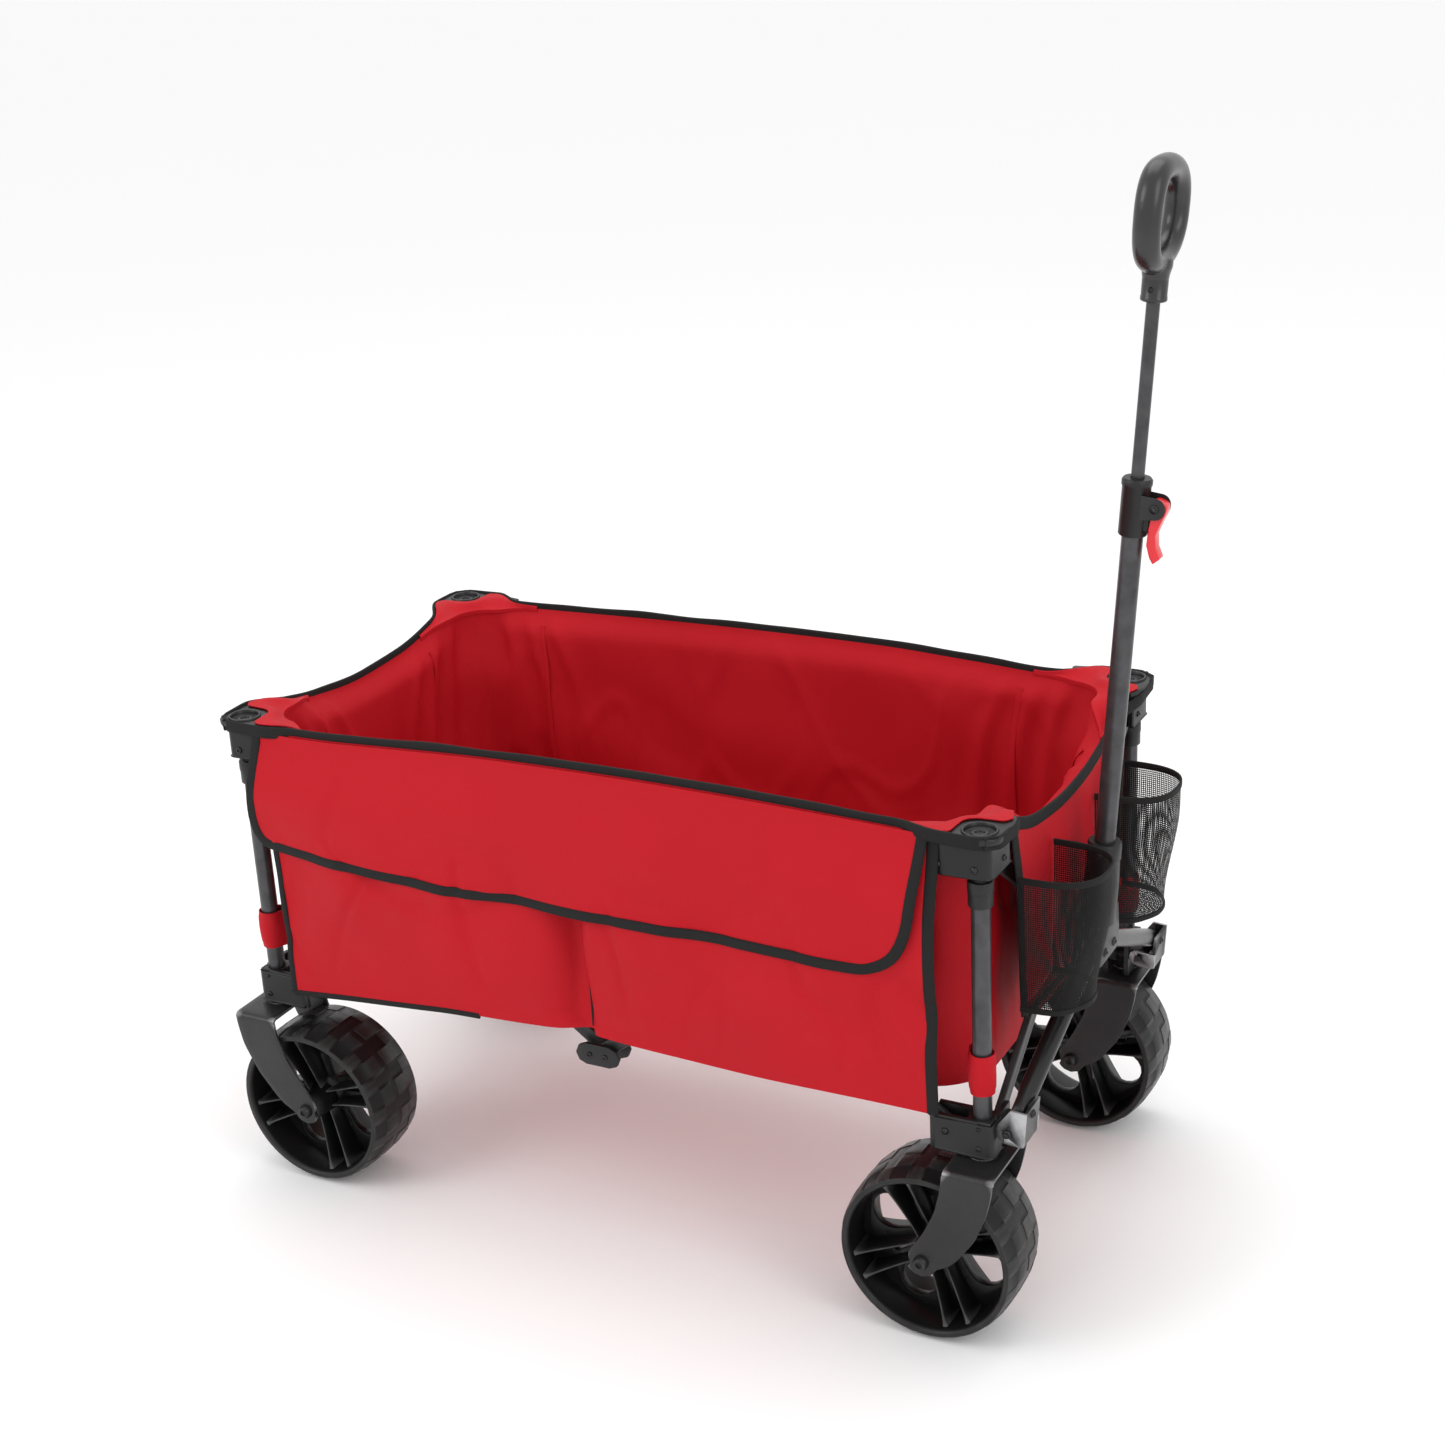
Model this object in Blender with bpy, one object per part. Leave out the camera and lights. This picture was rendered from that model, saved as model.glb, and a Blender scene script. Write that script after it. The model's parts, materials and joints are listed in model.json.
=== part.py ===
"""Folding wagon with a pull handle, built in metres with Z up and the handle end at +X.

The steel frame folds in length and width at once. Every scissor bar has the same
length, so one fold angle drives them all. The sub-parts are listed below in order:
corner brackets, posts, caps, scissor bars, centre joints, casters, handle, fabric.
"""

import math

import bmesh
import bpy
from mathutils import Matrix, Vector

# ---- frame layout -------------------------------------------------------------
SHIFT_X = -0.0350
POST_X = 0.430
POST_Y = 0.220
PIN_SIDE = 0.038
PIN_END = 0.024
PIN_LOW = 0.228
PIN_HIGH = 0.518
PIN_MID = (PIN_LOW + PIN_HIGH) / 2
GAP = 0.0003

# ---- posts, brackets and caps ---------------------------------------------------
POST_R = 0.0095
POST_BORE = 0.0079
INNER_R = 0.0075
POST_BOTTOM = 0.2155
POST_TOP = 0.5005
COLLAR_R = 0.0123
COLLAR_BOTTOM = 0.4745
INNER_BOTTOM = 0.235
INNER_TOP = 0.5395
BLOCK = 0.013
CHEEK_IN = 0.0093
CHEEK_OUT = 0.0145
BRACKET_BOTTOM = 0.2086
BRACKET_TOP = 0.247
HOUSING_BOTTOM = 0.5075
PLATE_BOTTOM = 0.545
PLATE_TOP = 0.551
DISH_R = 0.0165
DISH_DEPTH = 0.003
PIN_R = 0.003
HOLE_R = 0.0035

# ---- scissor bars ---------------------------------------------------------------
BAR_R = 0.008
LAYER_IN = 0.0015
LAYER_OUT = 0.0085
CENTRE_IN = 0.0092
CENTRE_OUT = 0.0142

# ---- wheels and forks -----------------------------------------------------------
WHEEL_R = 0.0950
RIM_EDGE_R = 0.0895
RIM_R = 0.0810
HALF_WHEEL = 0.042
FRONT_TRAIL = -0.048
REAR_TRAIL = 0.056
LEG_IN = 0.0455
LEG_OUT = 0.0485
FORK_TOP = 0.2045
FORK_UNDER = 0.2015
SEAT_R = 0.015
AXLE_R = 0.0050
AXLE_HOLE_R = 0.0054
HEAD_R = 0.0080
HEAD = 0.0050

# ---- pull handle ------------------------------------------------------------------
TILT_X = 0.4565
TILT_Z = 0.234
LEAN = math.radians(4.25)
YOKE_Y = 0.203
YOKE_N = 0.0045
YOKE_K = 0.0175
HUB_Y = 0.014
NOSE_R = 0.0072
HEEL_R = 0.0113
YOKE_SLOPE = math.radians(25.0)
HUB_K = YOKE_K + (YOKE_Y - HUB_Y) * math.tan(YOKE_SLOPE)
YOKE_R = 0.010
EYE_R = 0.0093
EYE_HALF = 0.0072
HANDLE_R = 0.0105
HANDLE_BORE = 0.0085
GRIP_TUBE_R = 0.0065
SOCKET_R = 0.0175
SOCKET_TOP = 0.224
CLAMP_LOW = 0.550
CLAMP_HIGH = 0.6065
CLAMP_R = 0.014
LEVER_N = 0.022
LEVER_K = 0.581
GRIP_LOW = 0.776
GRIP_LOOP = 0.856
GRIP_WIDE = 0.0405
GRIP_TALL = 0.0420
GRIP_R = 0.0118

# ---- fabric -------------------------------------------------------------------------
WALL = 0.002
SIDE_WALL_Y = 0.2045
END_WALL_X = 0.4145
WALL_BOTTOM = 0.2495
WALL_TOP = 0.5445
OVER_BOTTOM = 0.5385
POCKET_OUT = 0.262
POCKET_IN = 0.2365
POCKET_X = 0.3885
POCKET_BOTTOM = 0.255
FLAP_TOP_X = 0.350
FRONT_SKIN_X = 0.4440
FRONT_SKIN_Y = 0.157
FRONT_SKIN_BOTTOM = 0.333
FLOOR_TOP = 0.254
FLOOR_BOTTOM = 0.250
CUP_NEAR = 0.062
CUP_FAR = 0.160
CUP_OUT = 0.520
CUP_BOTTOM = 0.335
CUP_TOP = 0.478

RED_CLOTH = ("red_cloth", (0.55, 0.012, 0.025), 0.85, 0.0)
BLACK_MESH = ("black_mesh", (0.012, 0.012, 0.013), 0.8, 0.0)
DARK_STEEL = ("dark_steel", (0.045, 0.045, 0.05), 0.45, 0.6)
BLACK_PLASTIC = ("black_plastic", (0.015, 0.015, 0.016), 0.5, 0.0)
WHEEL_PLASTIC = ("wheel_plastic", (0.012, 0.012, 0.013), 0.55, 0.0)
RED_PLASTIC = ("red_plastic", (0.75, 0.02, 0.03), 0.35, 0.0)
BRIGHT_STEEL = ("bright_steel", (0.45, 0.45, 0.46), 0.35, 1.0)

PLANES = {"X": (1, 2, 0), "Y": (0, 2, 1), "Z": (0, 1, 2)}


def clear_scene():
    for obj in list(bpy.data.objects):
        bpy.data.objects.remove(obj)


def circle(a, b, radius, sides, turn=0.0):
    """Points of a regular polygon round (a, b)."""
    points = []
    for i in range(sides):
        angle = turn + 2 * math.pi * i / sides
        points.append((a + radius * math.cos(angle), b + radius * math.sin(angle)))
    return points


def rectangle(a0, b0, a1, b1):
    return [(a0, b0), (a1, b0), (a1, b1), (a0, b1)]


def stadium(start, end, radius, sides=8):
    """A straight bar's outline with round ends."""
    run = Vector(end) - Vector(start)
    along = math.atan2(run.y, run.x)
    points = []
    for centre, first in ((end, along - math.pi / 2), (start, along + math.pi / 2)):
        for i in range(sides // 2 + 1):
            angle = first + math.pi * i / (sides // 2)
            a = centre[0] + radius * math.cos(angle)
            b = centre[1] + radius * math.sin(angle)
            points.append((a, b))
    return points


def to_mesh(bm):
    mesh = bpy.data.meshes.new("solid")
    bmesh.ops.recalc_face_normals(bm, faces=bm.faces[:])
    bm.to_mesh(mesh)
    bm.free()
    return mesh


def prism(loops, axis, low, high):
    """A straight solid along an axis: an outline, then any holes through it."""
    first, second, third = PLANES[axis]
    shift = Vector((0, 0, 0))
    shift[third] = high - low
    bm = bmesh.new()
    edges = []
    for loop in loops:
        ring = []
        for a, b in loop:
            at = Vector((0, 0, 0))
            at[first], at[second], at[third] = a, b, low
            ring.append(bm.verts.new(at))
        for i in range(len(ring)):
            edges.append(bm.edges.new((ring[i - 1], ring[i])))
    made = bmesh.ops.triangle_fill(bm, use_beauty=True, edges=edges)
    faces = [f for f in made["geom"] if isinstance(f, bmesh.types.BMFace)]
    top = {v: bm.verts.new(v.co + shift) for v in list(bm.verts)}
    for face in faces:
        bm.faces.new([top[v] for v in face.verts])
    for edge in edges:
        start, end = edge.verts
        bm.faces.new((start, end, top[end], top[start]))
    return to_mesh(bm)


def box(x0, y0, z0, x1, y1, z1):
    return prism([rectangle(min(x0, x1), min(y0, y1), max(x0, x1), max(y0, y1))], "Z", z0, z1)


def rod(axis, at, radius, low, high, sides=10, bore=None):
    """A round bar along an axis, or a tube when it has a bore."""
    loops = [circle(at[0], at[1], radius, sides)]
    if bore:
        loops.append(circle(at[0], at[1], bore, sides))
    return prism(loops, axis, low, high)


def lathe(profile, sides, turn):
    """A closed profile of (radius, offset) points turned about the Y axis."""
    bm = bmesh.new()
    rings = []
    for i in range(sides):
        angle = turn + 2 * math.pi * i / sides
        ring = []
        for radius, offset in profile:
            ring.append(bm.verts.new((radius * math.cos(angle), offset, radius * math.sin(angle))))
        rings.append(ring)
    for i in range(sides):
        for j in range(len(profile)):
            corners = (rings[i - 1][j - 1], rings[i - 1][j], rings[i][j], rings[i][j - 1])
            bm.faces.new(corners)
    return to_mesh(bm)


def loop_sweep(path, radius, sides):
    """A round section carried round a closed path that lies in the YZ plane."""
    bm = bmesh.new()
    rings = []
    count = len(path)
    for i, point in enumerate(path):
        along = (Vector(path[(i + 1) % count]) - Vector(path[i - 1])).normalized()
        across = along.cross(Vector((1, 0, 0)))
        ring = []
        for j in range(sides):
            angle = 2 * math.pi * j / sides
            offset = across * (radius * math.cos(angle))
            offset = offset + Vector((1, 0, 0)) * (radius * math.sin(angle))
            ring.append(bm.verts.new(Vector(point) + offset))
        rings.append(ring)
    for i in range(count):
        for j in range(sides):
            bm.faces.new((rings[i - 1][j - 1], rings[i - 1][j], rings[i][j], rings[i][j - 1]))
    return to_mesh(bm)


def combine(base, tools, operation):
    """The base mesh with each tool mesh added to it or cut from it."""
    host = bpy.data.objects.new("host", base)
    bpy.context.collection.objects.link(host)
    helpers = []
    for tool in tools:
        helper = bpy.data.objects.new("helper", tool)
        bpy.context.collection.objects.link(helper)
        modifier = host.modifiers.new("combine", "BOOLEAN")
        modifier.operation = operation
        modifier.solver = "EXACT"
        modifier.object = helper
        helpers.append(helper)
    graph = bpy.context.evaluated_depsgraph_get()
    result = bpy.data.meshes.new_from_object(host.evaluated_get(graph))
    for obj in [host, *helpers]:
        bpy.data.objects.remove(obj)
    bm = bmesh.new()
    bm.from_mesh(result)
    bmesh.ops.remove_doubles(bm, verts=bm.verts[:], dist=0.000001)
    bmesh.ops.dissolve_limit(bm, angle_limit=0.001, verts=bm.verts[:], edges=bm.edges[:])
    bmesh.ops.triangulate(bm, faces=bm.faces[:])
    return to_mesh(bm)


def union(base, *tools):
    return combine(base, tools, "UNION")


def cut(base, *tools):
    return combine(base, tools, "DIFFERENCE")


def moved(mesh, matrix):
    mesh.transform(matrix)
    return mesh


def material(look):
    name, color, roughness, metallic = look
    found = bpy.data.materials.get(name)
    if found:
        return found
    made = bpy.data.materials.new(name)
    made.use_nodes = True
    shader = made.node_tree.nodes["Principled BSDF"]
    shader.inputs["Base Color"].default_value = (*color, 1)
    shader.inputs["Roughness"].default_value = roughness
    shader.inputs["Metallic"].default_value = metallic
    made.diffuse_color = (*color, 1)
    return made


def piece(name, mesh, origin, look):
    """A named object whose origin lies on its joint, moved into the shared frame."""
    own = Vector(origin)
    mesh.transform(Matrix.Translation(-own))
    mesh.materials.clear()
    mesh.materials.append(material(look))
    obj = bpy.data.objects.new(name, mesh)
    obj.location = own + Vector((SHIFT_X, 0, 0))
    bpy.context.collection.objects.link(obj)
    return obj


def span(a, b):
    return (min(a, b), max(a, b))


CORNERS = (
    ("rear_right", -1, -1),
    ("front_right", 1, -1),
    ("rear_left", -1, 1),
    ("front_left", 1, 1),
)


def cheeks(sx, sy, low, high):
    """The four plates that hold a side bar and an end bar beside a corner post."""
    px, py = sx * POST_X, sy * POST_Y
    reach_x = sx * (POST_X - PIN_SIDE - 0.012)
    reach_y = sy * (POST_Y - PIN_END - 0.012)
    plates = []
    for side in (-1, 1):
        y0, y1 = span(py + side * CHEEK_IN, py + side * CHEEK_OUT)
        plates.append(box(reach_x, y0, low, px, y1, high))
        x0, x1 = span(px + side * CHEEK_IN, px + side * CHEEK_OUT)
        plates.append(box(x0, reach_y, low, x1, py, high))
    return plates


def corner_pins(sx, sy, height):
    """The two hinge pins of a corner: across the side bar and across the end bar."""
    px, py = sx * POST_X, sy * POST_Y
    middle = (CHEEK_IN + CHEEK_OUT) / 2
    side_at = (sx * (POST_X - PIN_SIDE), height)
    end_at = (sy * (POST_Y - PIN_END), height)
    side_pin = rod("Y", side_at, PIN_R, py - middle, py + middle)
    end_pin = rod("X", end_at, PIN_R, px - middle, px + middle)
    return [side_pin, end_pin]


def lower_bracket(name, sx, sy):
    """Moulded corner bracket: a block round the post foot, cheeks and hinge pins."""
    px, py = sx * POST_X, sy * POST_Y
    block = box(px - BLOCK, py - BLOCK, BRACKET_BOTTOM, px + BLOCK, py + BLOCK, BRACKET_TOP)
    parts = cheeks(sx, sy, BRACKET_BOTTOM, BRACKET_TOP)
    parts += corner_pins(sx, sy, PIN_LOW)
    if sx > 0:
        back = px + CHEEK_IN + 0.0005
        nose = [(back, TILT_Z + NOSE_R), (back, TILT_Z - NOSE_R)]
        for i in range(9):
            angle = math.radians(22.5 * i - 90)
            nose.append((TILT_X + NOSE_R * math.cos(angle), TILT_Z + NOSE_R * math.sin(angle)))
        inner_y, outer_y = sy * 0.1885, sy * 0.2205
        y0, y1 = span(inner_y, outer_y)
        parts.append(prism([nose], "Y", y0, y1))
        y0, y1 = span(sy * 0.1805, sy * 0.2285)
        parts.append(rod("Y", (TILT_X, TILT_Z), PIN_R, y0, y1))
    solid = union(block, *parts)
    foot = rod("Z", (px, py), POST_R + GAP, POST_BOTTOM - GAP, BRACKET_TOP + 0.01, 14)
    return piece("bracket_" + name, cut(solid, foot), (px, py, BRACKET_BOTTOM), BLACK_PLASTIC)


def outer_post(name, sx, sy):
    """Steel corner tube with the guide collar at its top."""
    px, py = sx * POST_X, sy * POST_Y
    tube = rod("Z", (px, py), POST_R, POST_BOTTOM, POST_TOP, 14, POST_BORE)
    collar = rod("Z", (px, py), COLLAR_R, COLLAR_BOTTOM, POST_TOP, 14, POST_R - 0.0008)
    return piece("post_" + name, union(tube, collar), (px, py, POST_BOTTOM), DARK_STEEL)


def inner_post(name, sx, sy):
    """Thinner tube that hangs from the cap and slides in the corner tube."""
    px, py = sx * POST_X, sy * POST_Y
    tube = rod("Z", (px, py), INNER_R, INNER_BOTTOM, INNER_TOP, 14)
    return piece("inner_post_" + name, tube, (px, py, INNER_TOP), DARK_STEEL)


CAP_OUTLINE = (
    (0.0250, 0.0120),
    (0.0215, 0.0172),
    (0.0150, 0.0195),
    (-0.0680, 0.0175),
    (-0.0700, 0.0120),
    (-0.0680, 0.0060),
    (-0.0290, -0.0120),
    (-0.0160, -0.0250),
    (0.0080, -0.0600),
    (0.0165, -0.0625),
    (0.0250, -0.0600),
)


def corner_cap(name, sx, sy):
    """Moulded cap: a winged top plate with a round dish over the bar housing."""
    px, py = sx * POST_X, sy * POST_Y
    outline = [(px + sx * u, py + sy * v) for u, v in CAP_OUTLINE]
    plate = prism([outline], "Z", PLATE_BOTTOM, PLATE_TOP)
    under_plate = PLATE_BOTTOM + 0.001
    block = box(px - BLOCK, py - BLOCK, HOUSING_BOTTOM, px + BLOCK, py + BLOCK, under_plate)
    parts = cheeks(sx, sy, HOUSING_BOTTOM, under_plate)
    parts += corner_pins(sx, sy, PIN_HIGH)
    solid = union(plate, block, *parts)
    head = rod("Z", (px, py), INNER_R + GAP, HOUSING_BOTTOM - 0.01, INNER_TOP + GAP, 14)
    dish = rod("Z", (px, py), DISH_R, PLATE_TOP - DISH_DEPTH, PLATE_TOP + 0.01, 16)
    solid = cut(solid, head, dish)
    return piece("cap_" + name, solid, (px, py, HOUSING_BOTTOM), BLACK_PLASTIC)


def bar(name, axis, plane, ends, layer, holes, pins, origin):
    """One scissor bar in a plane across an axis: drilled where others pass through it."""
    outline = stadium(ends[0], ends[1], BAR_R)
    loops = [outline] + [circle(a, b, HOLE_R, 10) for a, b in holes]
    low, high = span(plane + layer * LAYER_IN, plane + layer * LAYER_OUT)
    solid = prism(loops, axis, low, high)
    if pins:
        far = plane - layer * (LAYER_OUT + 0.0006)
        near = plane + layer * (LAYER_IN + 0.002)
        low, high = span(near, far)
        solid = union(solid, *[rod(axis, at, PIN_R, low, high) for at in pins])
    return piece(name, solid, origin, DARK_STEEL)


def side_scissors(side, sy):
    """Four bars of one long side: two crossed pairs joined at the centre."""
    end = POST_X - PIN_SIDE
    plane = sy * POST_Y
    outward = sy
    rear_low, rear_high = (-end, PIN_LOW), (-end, PIN_HIGH)
    front_low, front_high = (end, PIN_LOW), (end, PIN_HIGH)
    low, high = (0, PIN_LOW), (0, PIN_HIGH)
    rear_cross, front_cross = (-end / 2, PIN_MID), (end / 2, PIN_MID)

    def at(point):
        return (point[0], plane, point[1])

    prefix = "brace_" + side
    bar(prefix + "_rear_a", "Y", plane, (rear_low, high), outward, [rear_low],
        [rear_cross, high], at(rear_low))
    bar(prefix + "_rear_b", "Y", plane, (rear_high, low), -outward,
        [rear_high, rear_cross, low], [], at(rear_cross))
    bar(prefix + "_front_a", "Y", plane, (low, front_high), outward, [low, front_high],
        [front_cross], at(low))
    bar(prefix + "_front_b", "Y", plane, (high, front_low), -outward,
        [high, front_cross, front_low], [], at(high))


def end_scissors(end, sx):
    """Two crossed bars of one short end."""
    reach = POST_Y - PIN_END
    plane = sx * POST_X
    right_low, right_high = (-reach, PIN_LOW), (-reach, PIN_HIGH)
    left_low, left_high = (reach, PIN_LOW), (reach, PIN_HIGH)
    cross = (0, PIN_MID)
    prefix = "brace_" + end
    bar(prefix + "_a", "X", plane, (right_low, left_high), sx, [right_low, left_high],
        [cross], (plane, -reach, PIN_LOW))
    bar(prefix + "_b", "X", plane, (left_low, right_high), -sx,
        [left_low, cross, right_high], [], (plane, 0, PIN_MID))


def centre_joint(side, sy):
    """Moulded joint under the middle of a long side, with the pin of two bars."""
    plane = sy * POST_Y
    parts = []
    outline = stadium((-0.014, PIN_LOW), (0.014, PIN_LOW), 0.0125)
    for face in (-1, 1):
        low, high = span(plane + face * CENTRE_IN, plane + face * CENTRE_OUT)
        parts.append(prism([outline], "Y", low, high))
    reach = (CENTRE_IN + CENTRE_OUT) / 2
    parts.append(rod("Y", (0, PIN_LOW), PIN_R, plane - reach, plane + reach))
    solid = union(*parts)
    return piece("centre_joint_" + side, solid, (0, plane, PIN_LOW), BLACK_PLASTIC)


LEG_END_R = 0.0165
LEG_FRONT_EDGE = (
    (-0.0245, 0.2045),
    (-0.0270, 0.1850),
    (-0.0330, 0.1560),
    (-0.0450, 0.1280),
)
LEG_BACK_EDGE = (
    (-0.0130, 0.1010),
    (0.0090, 0.1330),
    (0.0210, 0.1650),
    (0.0270, 0.1900),
    (0.0285, 0.2045),
)


def leg_outline(px, sx, trail):
    """A fork leg's curved outline, swept from the bridge to the axle."""
    reach = abs(trail)
    stretch = reach / abs(FRONT_TRAIL)
    points = [(px + sx * u, z) for u, z in LEG_FRONT_EDGE]
    for i in range(9):
        angle = math.radians(150 + 22.5 * i)
        u = LEG_END_R * math.cos(angle) - reach
        z = WHEEL_R + LEG_END_R * math.sin(angle)
        points.append((px + sx * u, z))
    for u, z in LEG_BACK_EDGE:
        if u < 0:
            u = u * stretch
        points.append((px + sx * u, z))
    return points


def fork(name, sx, sy):
    """Pressed steel fork: a bridge over the wheel, two curved legs and a round seat."""
    px, py = sx * POST_X, sy * POST_Y
    trail = FRONT_TRAIL if sx > 0 else REAR_TRAIL
    outline = leg_outline(px, sx, trail)
    axle = (px + trail, WHEEL_R)
    parts = []
    for side in (-1, 1):
        low, high = span(py + side * LEG_IN, py + side * LEG_OUT)
        parts.append(prism([outline, circle(axle[0], axle[1], AXLE_HOLE_R, 10)], "Y", low, high))
    x0, x1 = span(px - sx * 0.0243, px + sx * 0.0283)
    bridge_half = LEG_OUT - 0.0002
    parts.append(box(x0, py - bridge_half, FORK_UNDER, x1, py + bridge_half, FORK_TOP - 0.0001))
    parts.append(rod("Z", (px, py), SEAT_R, FORK_TOP - 0.001, BRACKET_BOTTOM - GAP, 14))
    return piece("fork_" + name, union(*parts), (px, py, FORK_TOP), DARK_STEEL)


WHEEL_SIDES = 32
HUB_R = 0.0185
HALF_HUB = 0.0445
HALF_WEB = 0.011


def wheel_mesh():
    """One moulded wheel about the Y axis: tread band, hub and five pairs of spokes."""
    turn = math.pi / WHEEL_SIDES
    grow = 1 / math.cos(turn)
    half = [(WHEEL_R, 0.030), (RIM_EDGE_R, HALF_WHEEL), (0.0840, HALF_WHEEL), (RIM_R, 0.034)]
    profile = [(r * grow, y) for r, y in half] + [(r * grow, -y) for r, y in reversed(half)]
    band = lathe(profile, WHEEL_SIDES, turn)
    windows = []
    for i in range(10):
        first = math.radians(36 * i + 6)
        last = math.radians(36 * i + 30)
        middle = (first + last) / 2
        window = []
        for radius, angle in (
            (0.030, middle),
            (0.060, first + 0.02),
            (0.077, first),
            (0.077, last),
            (0.060, last - 0.02),
        ):
            window.append((radius * math.cos(angle), radius * math.sin(angle)))
        windows.append(window)
    rim = circle(0, 0, RIM_R * grow + 0.0015, WHEEL_SIDES, turn)
    web = prism([rim, circle(0, 0, AXLE_HOLE_R, 10)] + windows, "Y", -HALF_WEB, HALF_WEB)
    hub = rod("Y", (0, 0), HUB_R, -HALF_HUB, HALF_HUB, 12, AXLE_HOLE_R)
    return union(band, web, hub)


def axle_mesh():
    """Axle bolt about the Y axis with a round head at each end."""
    shaft_end = LEG_OUT + GAP
    bolt = rod("Y", (0, 0), AXLE_R, -shaft_end - 0.001, shaft_end + 0.001)
    heads = []
    for side in (-1, 1):
        low, high = span(side * shaft_end, side * (shaft_end + HEAD))
        heads.append(rod("Y", (0, 0), HEAD_R, low, high))
    return union(bolt, *heads)


def running_gear():
    """Wheels and axle bolts: one mesh each, shared by the four corners."""
    wheel = wheel_mesh()
    axle = axle_mesh()
    wheel.materials.append(material(WHEEL_PLASTIC))
    axle.materials.append(material(BRIGHT_STEEL))
    for name, sx, sy in CORNERS:
        trail = FRONT_TRAIL if sx > 0 else REAR_TRAIL
        at = Vector((sx * POST_X + trail + SHIFT_X, sy * POST_Y, WHEEL_R))
        for kind, mesh in (("wheel_", wheel), ("axle_", axle)):
            obj = bpy.data.objects.new(kind + name, mesh)
            obj.location = at
            bpy.context.collection.objects.link(obj)


def leaned(mesh):
    """Handle pieces are drawn upright about the tilt axis, then leaned forward."""
    at = Matrix.Translation((TILT_X, 0, TILT_Z))
    return moved(mesh, at @ Matrix.Rotation(LEAN, 4, "Y"))


def lean_point(n, y, k):
    at = Matrix.Translation((TILT_X, 0, TILT_Z)) @ Matrix.Rotation(LEAN, 4, "Y")
    return at @ Vector((n, y, k))


def yoke_clevis(side, sy):
    """Pressed U-shaped link: two ears on the tilt pin and a front plate for the yoke tube."""
    parts = []
    round_heel = []
    for degrees in (-175, -150, -125, -100):
        angle = math.radians(degrees)
        round_heel.append((HEEL_R * math.cos(angle), HEEL_R * math.sin(angle)))
    sole = round_heel + [(0.0150, -0.0111), (0.0180, -0.0098)]
    tall = sole + [(0.0180, 0.0270), (0.0020, 0.0270), (-0.0103, 0.0080)]
    short = sole + [(0.0180, 0.0065), (-0.0060, 0.0065), (-0.0103, 0.0030)]
    for ear, inner, outer in ((short, 0.1845, 0.1875), (tall, 0.2215, 0.2245)):
        low, high = span(sy * inner, sy * outer)
        parts.append(prism([ear, circle(0, 0, HOLE_R, 10)], "Y", low, high))
    low, high = span(sy * 0.1847, sy * 0.2243)
    parts.append(box(0.0150, low, -0.0098, 0.0179, high, 0.0268))
    bolt_x = YOKE_N - 0.0075
    parts.append(rod("X", (sy * YOKE_Y, YOKE_K), PIN_R, bolt_x, 0.0165))
    solid = leaned(union(*parts))
    return piece("yoke_clevis_" + side, solid, (TILT_X, sy * YOKE_Y, TILT_Z), DARK_STEEL)


def yoke_tube(side, sy):
    """Thick tube from the corner clevis up to the hub, flattened into an eye at each end."""
    low_eye = (sy * YOKE_Y, YOKE_K)
    hub_eye = (sy * HUB_Y, HUB_K)
    run = Vector(hub_eye) - Vector(low_eye)
    length = run.length
    angle = math.atan2(run.y, run.x)
    tube = prism([circle(0, 0, YOKE_R, 12)], "X", 0.006, length - 0.006)
    turn = Matrix.Translation((YOKE_N, low_eye[0], low_eye[1])) @ Matrix.Rotation(angle, 4, "X")
    tube = moved(tube, turn @ Matrix.Rotation(math.pi / 2, 4, "Z"))
    eyes = []
    cutters = []
    for eye in (low_eye, hub_eye):
        eyes.append(rod("X", eye, EYE_R, YOKE_N - EYE_HALF, YOKE_N + EYE_HALF, 14))
        cutters.append(rod("X", eye, HOLE_R, YOKE_N - 0.02, YOKE_N + 0.02))
        for face in (-1, 1):
            low, high = span(YOKE_N + face * EYE_HALF, YOKE_N + face * 0.02)
            cutters.append(rod("X", eye, 0.0145, low, high, 14))
    solid = leaned(cut(union(tube, *eyes), *cutters))
    return piece("yoke_tube_" + side, solid, lean_point(YOKE_N, low_eye[0], low_eye[1]), DARK_STEEL)


def handle_socket():
    """Moulded hub of the yoke with the tall socket that grips the handle tube."""
    plate = [(-0.027, HUB_K - 0.013), (0.027, HUB_K - 0.013), (0.029, HUB_K + 0.008),
             (0.0175, HUB_K + 0.045), (-0.0175, HUB_K + 0.045), (-0.029, HUB_K + 0.008)]
    parts = []
    for face in (-1, 1):
        low, high = span(YOKE_N + face * 0.0106, YOKE_N + face * 0.0146)
        parts.append(prism([plate], "X", low, high))
    pin = rod("X", (-HUB_Y, HUB_K), PIN_R, YOKE_N - 0.0125, YOKE_N + 0.0125)
    parts.append(pin)
    low_socket = HUB_K + 0.028
    body = rod("Z", (YOKE_N, 0), SOCKET_R, low_socket, SOCKET_TOP, 18)
    solid = union(body, *parts)
    bore = rod("Z", (YOKE_N, 0), HANDLE_R + GAP, low_socket + 0.008, SOCKET_TOP + 0.01, 16)
    solid = leaned(cut(solid, bore))
    return piece("handle_socket", solid, lean_point(YOKE_N, -HUB_Y, HUB_K), BLACK_PLASTIC)


def handle_tubes():
    """Outer handle tube, and the thinner tube that slides in it."""
    origin = lean_point(YOKE_N, -HUB_Y, HUB_K)
    low = HUB_K + 0.028 + 0.0085
    outer = rod("Z", (YOKE_N, 0), HANDLE_R, low, CLAMP_HIGH - 0.0065, 16, HANDLE_BORE)
    piece("handle_outer_tube", leaned(outer), origin, DARK_STEEL)
    inner = rod("Z", (YOKE_N, 0), GRIP_TUBE_R, 0.345, GRIP_LOW + 0.020, 14)
    piece("handle_inner_tube", leaned(inner), lean_point(YOKE_N, 0, GRIP_LOW), DARK_STEEL)


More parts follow.
